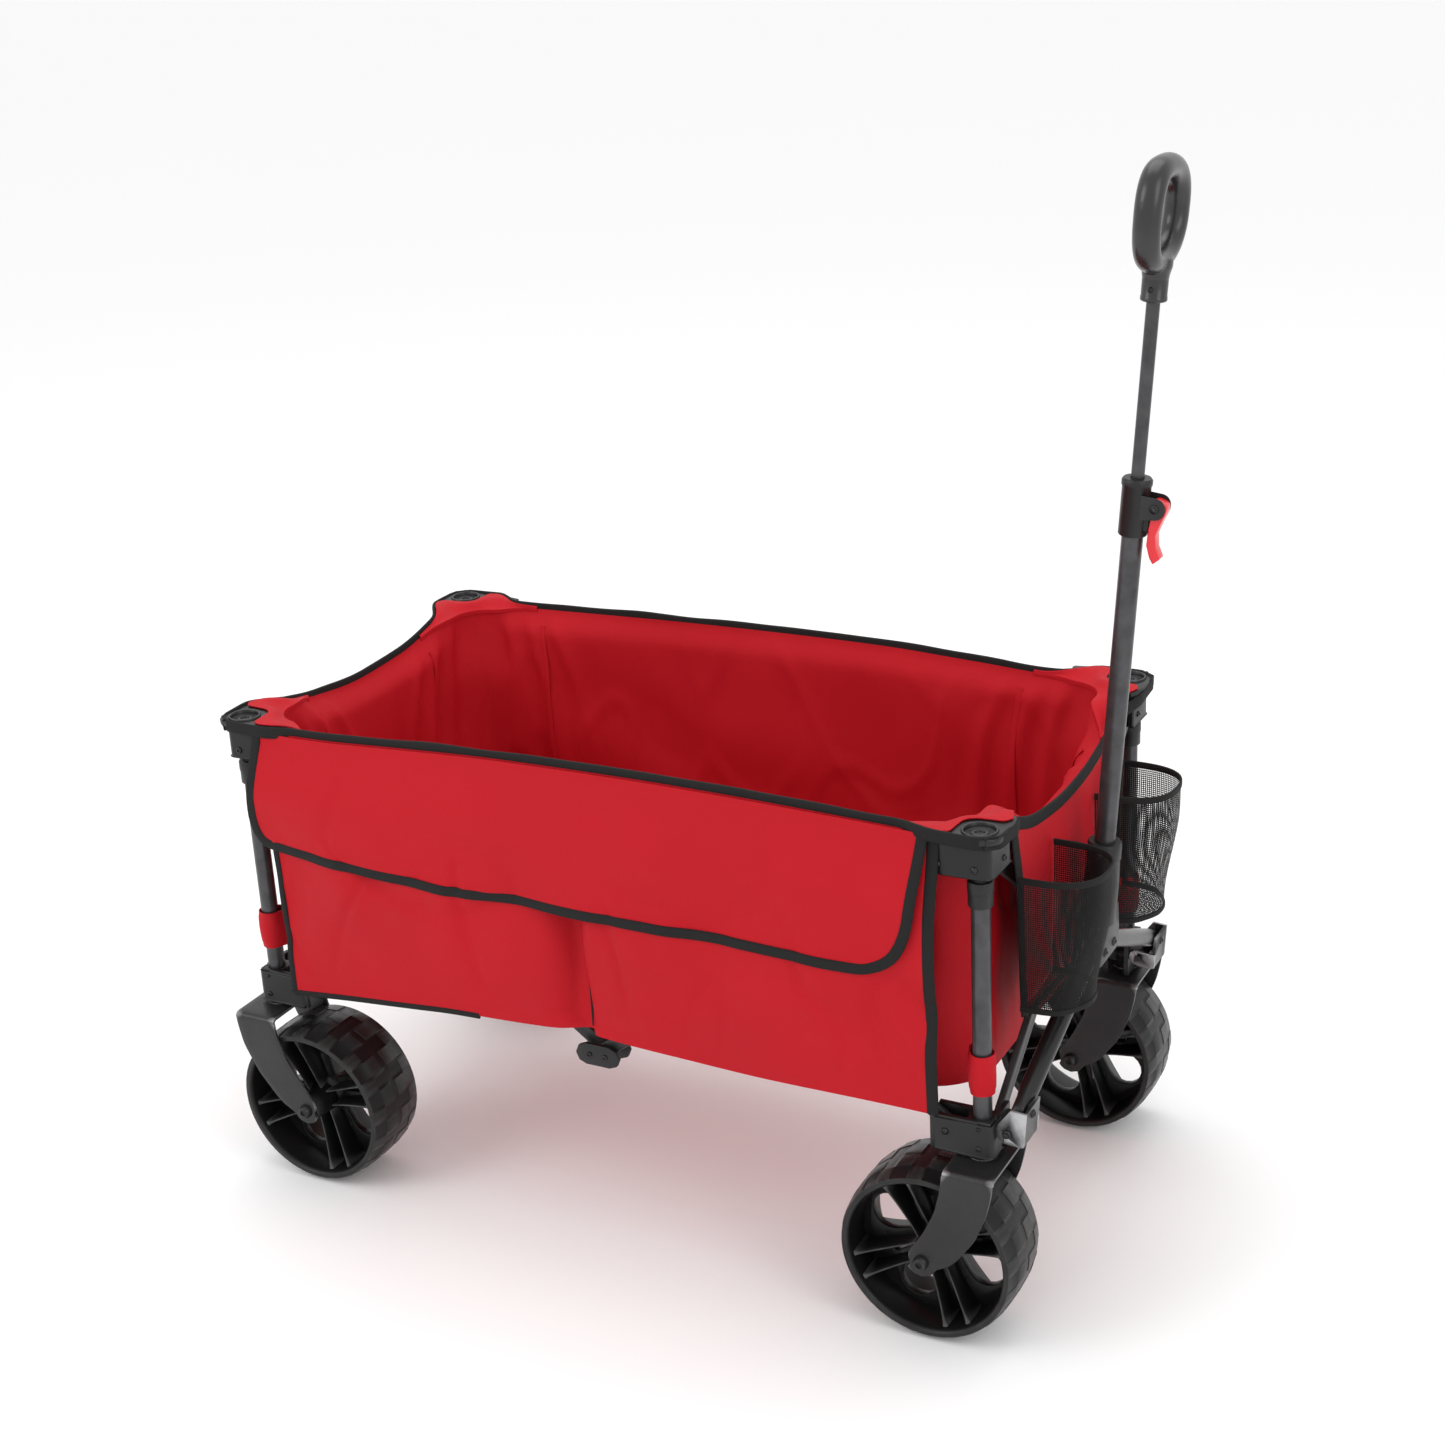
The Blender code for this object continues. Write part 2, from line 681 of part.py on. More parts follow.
def handle_clamp():
    """Moulded clamp on the end of the outer tube, with two ears for the cam lever."""
    barrel = rod("Z", (YOKE_N, 0), CLAMP_R, CLAMP_LOW, CLAMP_HIGH, 16)
    pivot = (YOKE_N + LEVER_N, LEVER_K)
    ears = []
    for face in (-1, 1):
        low, high = span(face * 0.0075, face * 0.0110)
        ears.append(prism([stadium((YOKE_N + 0.006, LEVER_K), pivot, 0.0095)], "Y", low, high))
    pin = rod("Y", pivot, PIN_R, -0.0095, 0.0095)
    solid = union(barrel, *ears, pin)
    wide = rod("Z", (YOKE_N, 0), HANDLE_R + GAP, CLAMP_LOW - 0.01, CLAMP_HIGH - 0.0062, 16)
    narrow = rod("Z", (YOKE_N, 0), GRIP_TUBE_R + GAP, CLAMP_LOW, CLAMP_HIGH + 0.01, 14)
    solid = leaned(cut(solid, wide, narrow))
    return piece("handle_clamp", solid, lean_point(YOKE_N, 0, CLAMP_LOW), BLACK_PLASTIC)


def clamp_lever():
    """Cam lever that hangs from the clamp ears."""
    n, k = YOKE_N + LEVER_N, LEVER_K
    outline = [(n - 0.0055, k + 0.0040), (n - 0.0031, k + 0.0066), (n, k + 0.0076),
               (n + 0.0027, k + 0.0071), (n + 0.0053, k + 0.0062), (n + 0.0077, k + 0.0053),
               (n + 0.0102, k + 0.0035), (n + 0.0110, k), (n + 0.0098, k - 0.0060),
               (n + 0.0066, k - 0.0140), (n + 0.0022, k - 0.0270), (n + 0.0036, k - 0.0400),
               (n + 0.0085, k - 0.0500), (n + 0.0020, k - 0.0560), (n - 0.0020, k - 0.0500),
               (n - 0.0060, k - 0.0380), (n - 0.0055, k - 0.0240), (n - 0.0040, k - 0.0120),
               (n - 0.0060, k - 0.0040)]
    loops = [outline, circle(n, k, HOLE_R, 10)]
    solid = leaned(prism(loops, "Y", -0.0070, 0.0070))
    return piece("clamp_lever", solid, lean_point(n, 0, k), RED_PLASTIC)


def handle_grip():
    """Moulded loop grip on a short collar."""
    path = []
    steps = 24
    for i in range(steps):
        angle = 2 * math.pi * i / steps
        flat = abs(math.cos(angle)) ** 0.85 * math.copysign(1, math.cos(angle))
        tall = abs(math.sin(angle)) ** 0.85 * math.copysign(1, math.sin(angle))
        path.append((YOKE_N, GRIP_WIDE * flat, GRIP_LOOP + GRIP_TALL * tall))
    loop = loop_sweep(path, GRIP_R, 10)
    collar = rod("Z", (YOKE_N, 0), 0.0125, GRIP_LOW, GRIP_LOOP - GRIP_TALL, 14)
    solid = union(loop, collar)
    bore = rod("Z", (YOKE_N, 0), GRIP_TUBE_R + GAP, GRIP_LOW - 0.01, GRIP_LOW + 0.0203, 14)
    solid = leaned(cut(solid, bore))
    return piece("handle_grip", solid, lean_point(YOKE_N, 0, GRIP_LOW), BLACK_PLASTIC)


def fabric():
    """Hanging cloth of the basket as thin closed slabs, held by the corner caps."""
    inner_y = SIDE_WALL_Y - WALL
    inner_x = END_WALL_X - WALL
    reach_x = inner_x - 0.0005
    reach_y = inner_y - 0.0005
    wall = box(-reach_x, -SIDE_WALL_Y, WALL_BOTTOM, reach_x, -inner_y, WALL_TOP)
    pocket = box(-POCKET_X, -POCKET_OUT, POCKET_BOTTOM, POCKET_X, -POCKET_IN, WALL_TOP)
    over_y = (-POCKET_OUT + 0.001, -inner_y - 0.0005)
    over = box(-FLAP_TOP_X, over_y[0], OVER_BOTTOM, FLAP_TOP_X, over_y[1], WALL_TOP)
    origin = (0, -SIDE_WALL_Y, WALL_TOP)
    piece("fabric_side_right", union(wall, pocket, over), origin, RED_CLOTH)
    wall = box(-reach_x, inner_y, WALL_BOTTOM, reach_x, SIDE_WALL_Y, WALL_TOP)
    piece("fabric_side_left", wall, (0, SIDE_WALL_Y, WALL_TOP), RED_CLOTH)
    wall = box(-END_WALL_X, -reach_y, WALL_BOTTOM, -inner_x, reach_y, WALL_TOP)
    piece("fabric_rear", wall, (-END_WALL_X, 0, WALL_TOP), RED_CLOTH)
    wall = box(inner_x, -reach_y, WALL_BOTTOM, END_WALL_X, reach_y, WALL_TOP)
    skin_back = FRONT_SKIN_X - 0.0025
    skin = box(skin_back, -FRONT_SKIN_Y, FRONT_SKIN_BOTTOM, FRONT_SKIN_X, FRONT_SKIN_Y, WALL_TOP)
    over_x = (inner_x + 0.0005, FRONT_SKIN_X - 0.0005)
    over_y = FRONT_SKIN_Y - 0.005
    over = box(over_x[0], -over_y, OVER_BOTTOM, over_x[1], over_y, WALL_TOP)
    piece("fabric_front", union(wall, skin, over), (END_WALL_X, 0, WALL_TOP), RED_CLOTH)
    floor_x = inner_x - 0.0008
    floor_y = inner_y - 0.0008
    for name, sx in (("front", 1), ("rear", -1)):
        x0, x1 = span(sx * 0.0005, sx * floor_x)
        slab = box(x0, -floor_y, FLOOR_BOTTOM, x1, floor_y, FLOOR_TOP)
        piece("floor_" + name, slab, (sx * floor_x, 0, FLOOR_BOTTOM), RED_CLOTH)


def cup_outline(sy, inset, back):
    """Half-round outline of a cup holder seen from above."""
    near, far = CUP_NEAR + inset, CUP_FAR - inset
    middle = (near + far) / 2
    half = (far - near) / 2
    out = CUP_OUT - inset
    points = [(back, sy * near), (back, sy * far)]
    depth = out - back - 0.012
    for i in range(9):
        angle = math.pi * i / 8
        a = out - depth + depth * math.sin(angle)
        points.append((a, sy * (middle + half * math.cos(angle))))
    return points


def cup_holder(side, sy):
    """Mesh cup holder: a half-round open bag on the front skin."""
    back = FRONT_SKIN_X + GAP
    outer = prism([cup_outline(sy, 0, back)], "Z", CUP_BOTTOM, CUP_TOP)
    inner = prism([cup_outline(sy, 0.0016, back + 0.0016)], "Z", CUP_BOTTOM + 0.0016, CUP_TOP + 0.01)
    solid = cut(outer, inner)
    middle = (CUP_NEAR + CUP_FAR) / 2
    return piece("cup_holder_" + side, solid, (back, sy * middle, CUP_TOP), BLACK_MESH)


clear_scene()
for corner, sx, sy in CORNERS:
    lower_bracket(corner, sx, sy)
    outer_post(corner, sx, sy)
    inner_post(corner, sx, sy)
    corner_cap(corner, sx, sy)
    fork(corner, sx, sy)
side_scissors("right", -1)
side_scissors("left", 1)
end_scissors("front", 1)
end_scissors("rear", -1)
centre_joint("right", -1)
centre_joint("left", 1)
running_gear()
for hand, sy in (("right", -1), ("left", 1)):
    yoke_clevis(hand, sy)
    yoke_tube(hand, sy)
    cup_holder(hand, sy)
handle_socket()
handle_tubes()
handle_clamp()
clamp_lever()
handle_grip()
fabric()
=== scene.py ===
import json
import math

import bmesh
import bpy
import numpy as np
from mathutils import Matrix, Quaternion, Vector, noise


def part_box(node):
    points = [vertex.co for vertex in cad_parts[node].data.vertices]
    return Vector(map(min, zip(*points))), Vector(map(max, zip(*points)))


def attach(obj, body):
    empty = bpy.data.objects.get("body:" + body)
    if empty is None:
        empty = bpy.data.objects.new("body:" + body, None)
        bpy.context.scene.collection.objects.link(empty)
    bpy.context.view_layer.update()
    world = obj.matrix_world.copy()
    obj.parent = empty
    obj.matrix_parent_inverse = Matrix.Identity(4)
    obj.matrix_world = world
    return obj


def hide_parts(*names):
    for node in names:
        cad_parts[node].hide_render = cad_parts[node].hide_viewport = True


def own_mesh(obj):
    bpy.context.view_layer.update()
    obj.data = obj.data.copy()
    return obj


# ---------------------------------------------------------------------------
# The folding wagon as packed: every steel and plastic part at its real place.
# Lengths below are metres from the middle of the four corner posts.
# ---------------------------------------------------------------------------
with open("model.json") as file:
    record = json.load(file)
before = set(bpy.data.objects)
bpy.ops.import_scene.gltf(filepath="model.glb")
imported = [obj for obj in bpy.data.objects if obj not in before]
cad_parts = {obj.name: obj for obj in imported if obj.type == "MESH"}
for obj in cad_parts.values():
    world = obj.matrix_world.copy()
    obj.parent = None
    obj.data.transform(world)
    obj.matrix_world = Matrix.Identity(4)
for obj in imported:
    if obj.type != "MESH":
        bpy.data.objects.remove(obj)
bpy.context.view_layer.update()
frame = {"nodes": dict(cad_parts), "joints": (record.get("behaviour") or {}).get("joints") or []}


def middle(node):
    """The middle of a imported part's box."""
    low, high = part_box(node)
    return (low + high) / 2


rear_post = middle("post_rear_right")
front_post = middle("post_front_right")
centre_x = (rear_post.x + front_post.x) / 2
post_x = (front_post.x - rear_post.x) / 2
post_y = abs(rear_post.y)


def at(x, y, z):
    """A point given from the middle of the posts, in the shared frame."""
    return Vector((centre_x + x, y, z))


# ---------------------------------------------------------------------------
# The studio: a pale sweep of floor under a bright, even sky of soft boxes.
# The camera stands at the near front corner, a little above the rim.
# ---------------------------------------------------------------------------
turn_round = math.radians(28.5)
look_down = math.radians(21.04)
roll = math.radians(-3.0)
forward = Vector((
    -math.sin(turn_round) * math.cos(look_down),
    math.cos(turn_round) * math.cos(look_down),
    -math.sin(look_down),
))
camera = bpy.data.objects.new("camera", bpy.data.cameras.new("camera"))
camera.data.lens = 58.315
camera.data.sensor_width = 36.0
camera.location = at(1.1751, -2.0826, 1.43846)
camera.rotation_mode = "QUATERNION"
camera.rotation_quaternion = forward.to_track_quat("-Z", "Y") @ Quaternion((0, 0, 1), roll)
bpy.context.collection.objects.link(camera)
bpy.context.scene.camera = camera


def matter(name):
    """A new material with its shader, ready for nodes."""
    made = bpy.data.materials.new(name)
    made.use_nodes = True
    return made, made.node_tree.nodes, made.node_tree.links, made.node_tree.nodes["Principled BSDF"]


floor_look, nodes, links, shader = matter("studio_floor")
shader.inputs["Base Color"].default_value = (0.95, 0.95, 0.95, 1)
shader.inputs["Roughness"].default_value = 0.8
floor_mesh = bpy.data.meshes.new("studio_floor")
floor_mesh.from_pydata([(-60, -60, 0), (60, -60, 0), (60, 60, 0), (-60, 60, 0)], [], [(0, 1, 2, 3)])
floor_mesh.materials.append(floor_look)
studio_floor = bpy.data.objects.new("studio_floor", floor_mesh)
studio_floor.location.z = -0.0006
bpy.context.collection.objects.link(studio_floor)

sky = bpy.data.worlds.new("studio_sky")
sky.use_nodes = True
sky.node_tree.nodes["Background"].inputs["Color"].default_value = (1.0, 1.0, 1.0, 1)
sky.node_tree.nodes["Background"].inputs["Strength"].default_value = 1.0
bpy.context.scene.world = sky
bpy.context.scene.view_settings.view_transform = "Standard"


def soft_box(name, place, aim, size, power):
    """A rectangular lamp at a place, aimed at a point."""
    lamp = bpy.data.lights.new(name, "AREA")
    lamp.shape = "RECTANGLE"
    lamp.size, lamp.size_y = size
    lamp.energy = power
    obj = bpy.data.objects.new(name, lamp)
    obj.location = place
    obj.rotation_mode = "QUATERNION"
    obj.rotation_quaternion = (Vector(aim) - Vector(place)).to_track_quat("-Z", "Y")
    bpy.context.collection.objects.link(obj)


soft_box("soft_box_left", (-2.2, -2.6, 2.6), (0, 0, 0.35), (1.8, 1.8), 32)
soft_box("soft_box_right", (2.8, -1.2, 2.0), (0, 0, 0.4), (1.2, 2.0), 16)
soft_box("soft_box_top", (0.0, 0.6, 3.2), (0, 0, 0.3), (2.4, 2.0), 24)

# ---------------------------------------------------------------------------
# Corner posts: powder-coated steel tubes 19 mm across, four of them, each with
# a thinner tube that slides in it. The coat has a fine hammered texture that
# wears to bright metal along the edges. Shared finish groups start here.
# ---------------------------------------------------------------------------


def group(name, inputs, outputs):
    """An empty shader group with named number inputs and outputs."""
    tree = bpy.data.node_groups.new(name, "ShaderNodeTree")
    for label, value in inputs:
        socket = tree.interface.new_socket(label, in_out="INPUT", socket_type="NodeSocketFloat")
        socket.default_value = value
    for label in outputs:
        tree.interface.new_socket(label, in_out="OUTPUT", socket_type="NodeSocketFloat")
    return tree, tree.nodes.new("NodeGroupInput"), tree.nodes.new("NodeGroupOutput")


def sum_of(tree, kind, first, second):
    """A maths node between two sockets or numbers."""
    node = tree.nodes.new("ShaderNodeMath")
    node.operation = kind
    for slot_number, value in enumerate((first, second)):
        if value is None:
            continue
        if isinstance(value, (int, float)):
            node.inputs[slot_number].default_value = value
        else:
            tree.links.new(value, node.inputs[slot_number])
    return node.outputs[0]


def noise_of(tree, scale, detail=2.0, rough=0.5):
    """Noise over the piece's own space; the scale is a number or a socket."""
    node = tree.nodes.new("ShaderNodeTexNoise")
    node.inputs["Detail"].default_value = detail
    node.inputs["Roughness"].default_value = rough
    if isinstance(scale, (int, float)):
        node.inputs["Scale"].default_value = scale
    else:
        tree.links.new(scale, node.inputs["Scale"])
    where = tree.nodes.new("ShaderNodeTexCoord").outputs["Object"]
    tree.links.new(where, node.inputs["Vector"])
    return node.outputs["Fac"]


# Height and patchiness of a moulded or powder-coated skin, with a mask of brighter edges: wear, and where the
# setting is strong a painted highlight along the edges.
grain, grain_in, grain_out = group(
    "grain", [("Grain Scale", 900.0), ("Patch Scale", 9.0), ("Wear And Highlight", 1.0)], ["Height", "Patch", "Edge"]
)
grain.links.new(noise_of(grain, grain_in.outputs["Grain Scale"], 3.0), grain_out.inputs["Height"])
grain.links.new(noise_of(grain, grain_in.outputs["Patch Scale"], 4.0, 0.6), grain_out.inputs["Patch"])
pointed = grain.nodes.new("ShaderNodeNewGeometry").outputs["Pointiness"]
above = sum_of(grain, "SUBTRACT", pointed, 0.53)
steep = sum_of(grain, "MULTIPLY", above, 9.0)
broken = sum_of(grain, "MULTIPLY", steep, noise_of(grain, 60.0, 3.0))
kept = sum_of(grain, "MULTIPLY", broken, grain_in.outputs["Wear And Highlight"])
edge = sum_of(grain, "MINIMUM", sum_of(grain, "MAXIMUM", kept, 0.0), 1.0)
grain.links.new(edge, grain_out.inputs["Edge"])


def mix_colours(tree, factor, first, second):
    """A mix of two colours by a factor from 0 to 1."""
    node = tree.nodes.new("ShaderNodeMix")
    node.data_type = "RGBA"
    node.inputs["A"].default_value = (*first, 1)
    node.inputs["B"].default_value = (*second, 1)
    tree.links.new(factor, node.inputs["Factor"])
    return node


def grained(name, dark, light, wear_and_highlight_colour, rough, bump, scale=900.0, metallic=0.0, wear_and_highlight=1.0, coat=0.0, glare=0.35):
    """A material with fine grain, slow patches of tone and brighter edges: worn, and painted highlight where
    the wear setting is strong.
    """
    made, nodes, links, shader = matter(name)
    tree = made.node_tree
    skin = nodes.new("ShaderNodeGroup")
    skin.node_tree = grain
    skin.inputs["Grain Scale"].default_value = scale
    skin.inputs["Wear And Highlight"].default_value = wear_and_highlight
    tone = mix_colours(tree, skin.outputs["Patch"], dark, light)
    edged = mix_colours(tree, skin.outputs["Edge"], dark, wear_and_highlight_colour)
    links.new(tone.outputs["Result"], edged.inputs["A"])
    links.new(edged.outputs["Result"], shader.inputs["Base Color"])
    spread = nodes.new("ShaderNodeMapRange")
    spread.inputs["To Min"].default_value = rough - 0.07
    spread.inputs["To Max"].default_value = rough + 0.07
    links.new(skin.outputs["Patch"], spread.inputs["Value"])
    links.new(spread.outputs["Result"], shader.inputs["Roughness"])
    bumps = nodes.new("ShaderNodeBump")
    bumps.inputs["Strength"].default_value = bump
    bumps.inputs["Distance"].default_value = 0.0004
    links.new(skin.outputs["Height"], bumps.inputs["Height"])
    links.new(bumps.outputs["Normal"], shader.inputs["Normal"])
    shader.inputs["Metallic"].default_value = metallic
    shader.inputs["Coat Weight"].default_value = coat
    shader.inputs["Specular IOR Level"].default_value = glare
    return made


tube_coat = grained("tube_coat", (0.021, 0.021, 0.022), (0.038, 0.038, 0.040), (0.22, 0.22, 0.23),
                    0.31, 0.25, 700.0, 0.60, 0.6)


def piece(name, mesh, look, body, nodes=(), smooth=40.0):
    """A finished piece of the wagon: shaded, named, and riding on its body."""
    bm = bmesh.new()
    bm.from_mesh(mesh)
    bmesh.ops.recalc_face_normals(bm, faces=bm.faces[:])
    bm.to_mesh(mesh)
    bm.free()
    mesh.shade_smooth()
    mesh.set_sharp_from_angle(angle=math.radians(smooth))
    mesh.materials.clear()
    mesh.materials.append(look)
    obj = bpy.data.objects.new(name, mesh)
    bpy.context.collection.objects.link(obj)
    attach(obj, body)
    if nodes:
        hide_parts(*nodes)
    return obj


def from_rows(rows, closed_across=False, closed_along=False, capped=False):
    """A surface through rows of points."""
    bm = bmesh.new()
    made = [[bm.verts.new(p) for p in row] for row in rows]
    count, width = len(made), len(made[0])
    for i in range(count if closed_along else count - 1):
        for j in range(width if closed_across else width - 1):
            a, b = made[i], made[(i + 1) % count]
            k = (j + 1) % width
            bm.faces.new((a[j], a[k], b[k], b[j]))
    if capped:
        bm.faces.new(made[0])
        bm.faces.new(made[-1])
    mesh = bpy.data.meshes.new("rows")
    bm.to_mesh(mesh)
    bm.free()
    return mesh


def ring(centre, along, radius, sides=32):
    """A circle of points round a centre, square to a direction."""
    turn = Vector(along).to_track_quat("Z", "Y")
    out = []
    for i in range(sides):
        angle = 2 * math.pi * i / sides
        out.append(Vector(centre) + turn @ Vector((radius * math.cos(angle), radius * math.sin(angle), 0)))
    return out


def turned(start, along, profile, sides=32, capped=True):
    """A round body: (distance along, radius) pairs turned about a line."""
    along = Vector(along).normalized()
    rows = [ring(Vector(start) + along * d, along, r, sides) for d, r in profile]
    return from_rows(rows, closed_across=True, capped=capped)


def joined(*meshes):
    """Several meshes as one."""
    bm = bmesh.new()
    for mesh in meshes:
        bm.from_mesh(mesh)
        bpy.data.meshes.remove(mesh)
    made = bpy.data.meshes.new("joined")
    bm.to_mesh(made)
    bm.free()
    return made


def worked(mesh, *steps):
    """The mesh after modifiers, each given as (kind, {setting: value})."""
    obj = bpy.data.objects.new("work", mesh)
    bpy.context.collection.objects.link(obj)
    for kind, settings in steps:
        modifier = obj.modifiers.new(kind.lower(), kind)
        for key, value in settings.items():
            setattr(modifier, key, value)
    graph = bpy.context.evaluated_depsgraph_get()
    made = bpy.data.meshes.new_from_object(obj.evaluated_get(graph))
    bpy.data.objects.remove(obj)
    return made


def bevelled(mesh, width, segments=2, angle=35.0):
    """The mesh with its sharp edges rounded over."""
    rounding = {"width": width, "segments": segments, "limit_method": "ANGLE",
                "angle_limit": math.radians(angle), "harden_normals": False}
    return worked(mesh, ("BEVEL", rounding))


def refined(node, width=0.0006, segments=2):
    """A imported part's own shape, welded and with its edges rounded over."""
    bm = bmesh.new()
    bm.from_mesh(frame["nodes"][node].data)
    bmesh.ops.remove_doubles(bm, verts=bm.verts[:], dist=0.00001)
    bmesh.ops.dissolve_limit(bm, angle_limit=math.radians(1.0), verts=bm.verts[:], edges=bm.edges[:])
    copy = bpy.data.meshes.new("refined")
    bm.to_mesh(copy)
    bm.free()
    return bevelled(copy, width, segments, 30.0)


CORNERS = (
    ("rear_right", -1, -1),
    ("front_right", 1, -1),
    ("rear_left", -1, 1),
    ("front_left", 1, 1),
)


def post_place(sx, sy):
    """The middle of a corner post: sx is 1 at the front, sy is 1 on the left."""
    return centre_x + sx * post_x, sy * post_y


post_body = {"rear_right": "base", "front_right": "corner_front_right",
             "rear_left": "corner_rear_left", "front_left": "corner_front_left"}
collar_plastic = grained("moulded_black", (0.006, 0.006, 0.0063), (0.012, 0.012, 0.0124), (0.05, 0.05, 0.052),
                         0.40, 0.35, 1400.0, 0.0, 0.5)
upwards = (0, 0, 1)
collar_foot = 0.4745
for corner, sx, sy in CORNERS:
    low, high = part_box("post_" + corner)
    foot = at(sx * post_x, sy * post_y, low.z)
    tall = high.z - low.z
    tube_profile = [(0, 0.0079), (0, 0.0095), (tall - 0.001, 0.0095), (tall - 0.001, 0.0079)]
    tube = turned(foot, upwards, tube_profile, 36, False)
    piece("corner_tube_" + corner, tube, tube_coat, post_body[corner], ["post_" + corner])
    collar_profile = [(0, 0.0097), (0, 0.0118), (0.0007, 0.0123), (0.0145, 0.0123), (0.0150, 0.0128),
                      (0.0245, 0.0128), (0.0260, 0.0120), (0.0260, 0.0085)]
    collar = turned(at(sx * post_x, sy * post_y, collar_foot), upwards, collar_profile, 36, False)
    piece("tube_collar_" + corner, collar, collar_plastic, post_body[corner])
    low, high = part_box("inner_post_" + corner)
    inner_profile = [(0, 0.0060), (0, 0.0075), (high.z - low.z, 0.0075)]
    inner = turned(at(sx * post_x, sy * post_y, low.z), upwards, inner_profile, 30)
    piece("sliding_tube_" + corner, inner, tube_coat, "cap_" + corner, ["inner_post_" + corner])

# ---------------------------------------------------------------------------
# Lower corner brackets: black glass-filled nylon blocks that clamp each post
# foot and hold the ends of two scissor bars. Socket-head screws pass through.
# ---------------------------------------------------------------------------
screw_steel = grained("screw_black", (0.012, 0.012, 0.013), (0.03, 0.03, 0.032), (0.20, 0.20, 0.21),
                      0.30, 0.1, 900.0, 0.8, 1.0)
skin_out = 0.0160
bracket_low, bracket_high = 0.2088, 0.2445
bracket_screws = ((-0.034, 0.2305, 0.0037), (0.0015, 0.2400, 0.0019), (0.0015, 0.2180, 0.0030))


def screw(name, place, facing, radius, body):
    """A button-head screw with its hexagon socket, facing outwards."""
    head = [(-0.0004, radius), (0.0009, radius), (0.0019, radius * 0.78), (0.0022, radius * 0.55)]
    cup = [(0.0022, radius * 0.46), (0.0010, radius * 0.44), (0.0009, 0.0002)]
    dome = turned(place, facing, head, 24, False)
    socket = turned(place, facing, cup, 6, False)
    lip = from_rows([ring(Vector(place) + Vector(facing) * 0.0022, facing, radius * 0.55, 24),
                     ring(Vector(place) + Vector(facing) * 0.0021, facing, radius * 0.42, 24)], True)
    return piece(name, joined(dome, socket, lip), screw_steel, body, smooth=50.0)


def in_plane(axis, a, b, level):
    """A point of the plane across an axis: a and b lie in the plane, level is along the axis."""
    if axis == "X":
        return Vector((level, a, b))
    if axis == "Y":
        return Vector((a, level, b))
    return Vector((a, b, level))


def slab(outline, axis, low, high):
    """A straight solid: an outline in the plane across an axis."""
    rows = [[in_plane(axis, a, b, level) for a, b in outline] for level in (low, high)]
    return from_rows(rows, closed_across=True, capped=True)


def block(x0, x1, y0, y1, z0, z1):
    """A plain box from its six limits."""
    outline = [(x0, y0), (x1, y0), (x1, y1), (x0, y1)]
    return slab(outline, "Z", z0, z1)


def rounded_corner(sx, sy, reach, thick, z0, z1):
    """A moulded skin that wraps the outside of a corner post: flat, round, flat."""
    cx, cy = post_place(sx, sy)
    radius = 0.0085
    bend = skin_out - radius
    path = [(-reach[0], skin_out)]
    for i in range(7):
        angle = math.pi / 2 * (1 - i / 6)
        path.append((bend + radius * math.cos(angle), bend + radius * math.sin(angle)))
    path.append((skin_out, -reach[1]))
    inner = skin_out - thick
    back = [(inner, -reach[1]), (inner, inner), (-reach[0], inner)]
    outline = [(cx + sx * u, cy + sy * v) for u, v in path + back]
    return slab(outline, "Z", z0, z1)


for corner, sx, sy in CORNERS:
    body = post_body[corner]
    node = "bracket_" + corner
    cx, cy = post_place(sx, sy)
    reach = (0.046, 0.0105) if sx > 0 else (0.046, 0.034)
    skin = bevelled(rounded_corner(sx, sy, reach, 0.0034, bracket_low, bracket_high), 0.0016, 3)
    core = refined(node, 0.0007)
    piece("foot_bracket_" + corner, joined(core, skin), collar_plastic, body, [node])
    for k, (u, z, r) in enumerate(bracket_screws):
        screw("bracket_screw_%d_%s" % (k, corner), (cx + sx * u, cy + sy * skin_out, z), (0, sy, 0), r, body)
    if sx < 0:
        end_place = (cx + sx * skin_out, cy - sy * 0.024, 0.2305)
        screw("bracket_end_screw_" + corner, end_place, (sx, 0, 0), 0.0034, body)

# ---------------------------------------------------------------------------
# Corner caps: moulded black plates with two arms that carry the rim, a round
# dish over the post, and a housing below for the tops of the scissor bars.
# ---------------------------------------------------------------------------
cap_plastic = grained("cap_plastic", (0.006, 0.006, 0.0063), (0.012, 0.012, 0.0124), (0.05, 0.05, 0.052),
                      0.33, 0.25, 1500.0, 0.0, 0.5)
cap_arms = ((0.0250, 0.0070), (0.0225, 0.0150), (0.0170, 0.0200), (0.0080, 0.0225), (-0.0200, 0.0215),
            (-0.0500, 0.0195), (-0.0680, 0.0165), (-0.0700, 0.0120), (-0.0660, 0.0070), (-0.0440, -0.0020),
            (-0.0290, -0.0120), (-0.0215, -0.0185), (-0.0160, -0.0250), (-0.0060, -0.0360), (0.0050, -0.0440),
            (0.0100, -0.0470), (0.0165, -0.0465), (0.0215, -0.0400), (0.0245, -0.0250))
dish_profile = [(0.5450, 0.0180), (0.5515, 0.0180), (0.5527, 0.0172), (0.5527, 0.0158), (0.5515, 0.0150),
                (0.5488, 0.0145), (0.5478, 0.0125), (0.5476, 0.0088), (0.5492, 0.0082), (0.5492, 0.0052),
                (0.5480, 0.0046), (0.5478, 0.0010)]
housing_foot, pin_height = 0.5075, 0.5180
web_in, web_out, web_low, web_high = 0.0093, 0.0145, 0.5080, 0.5455
cap_screws = ((-0.036, 0.5185, 0.0027), (0.0, 0.5170, 0.0036))


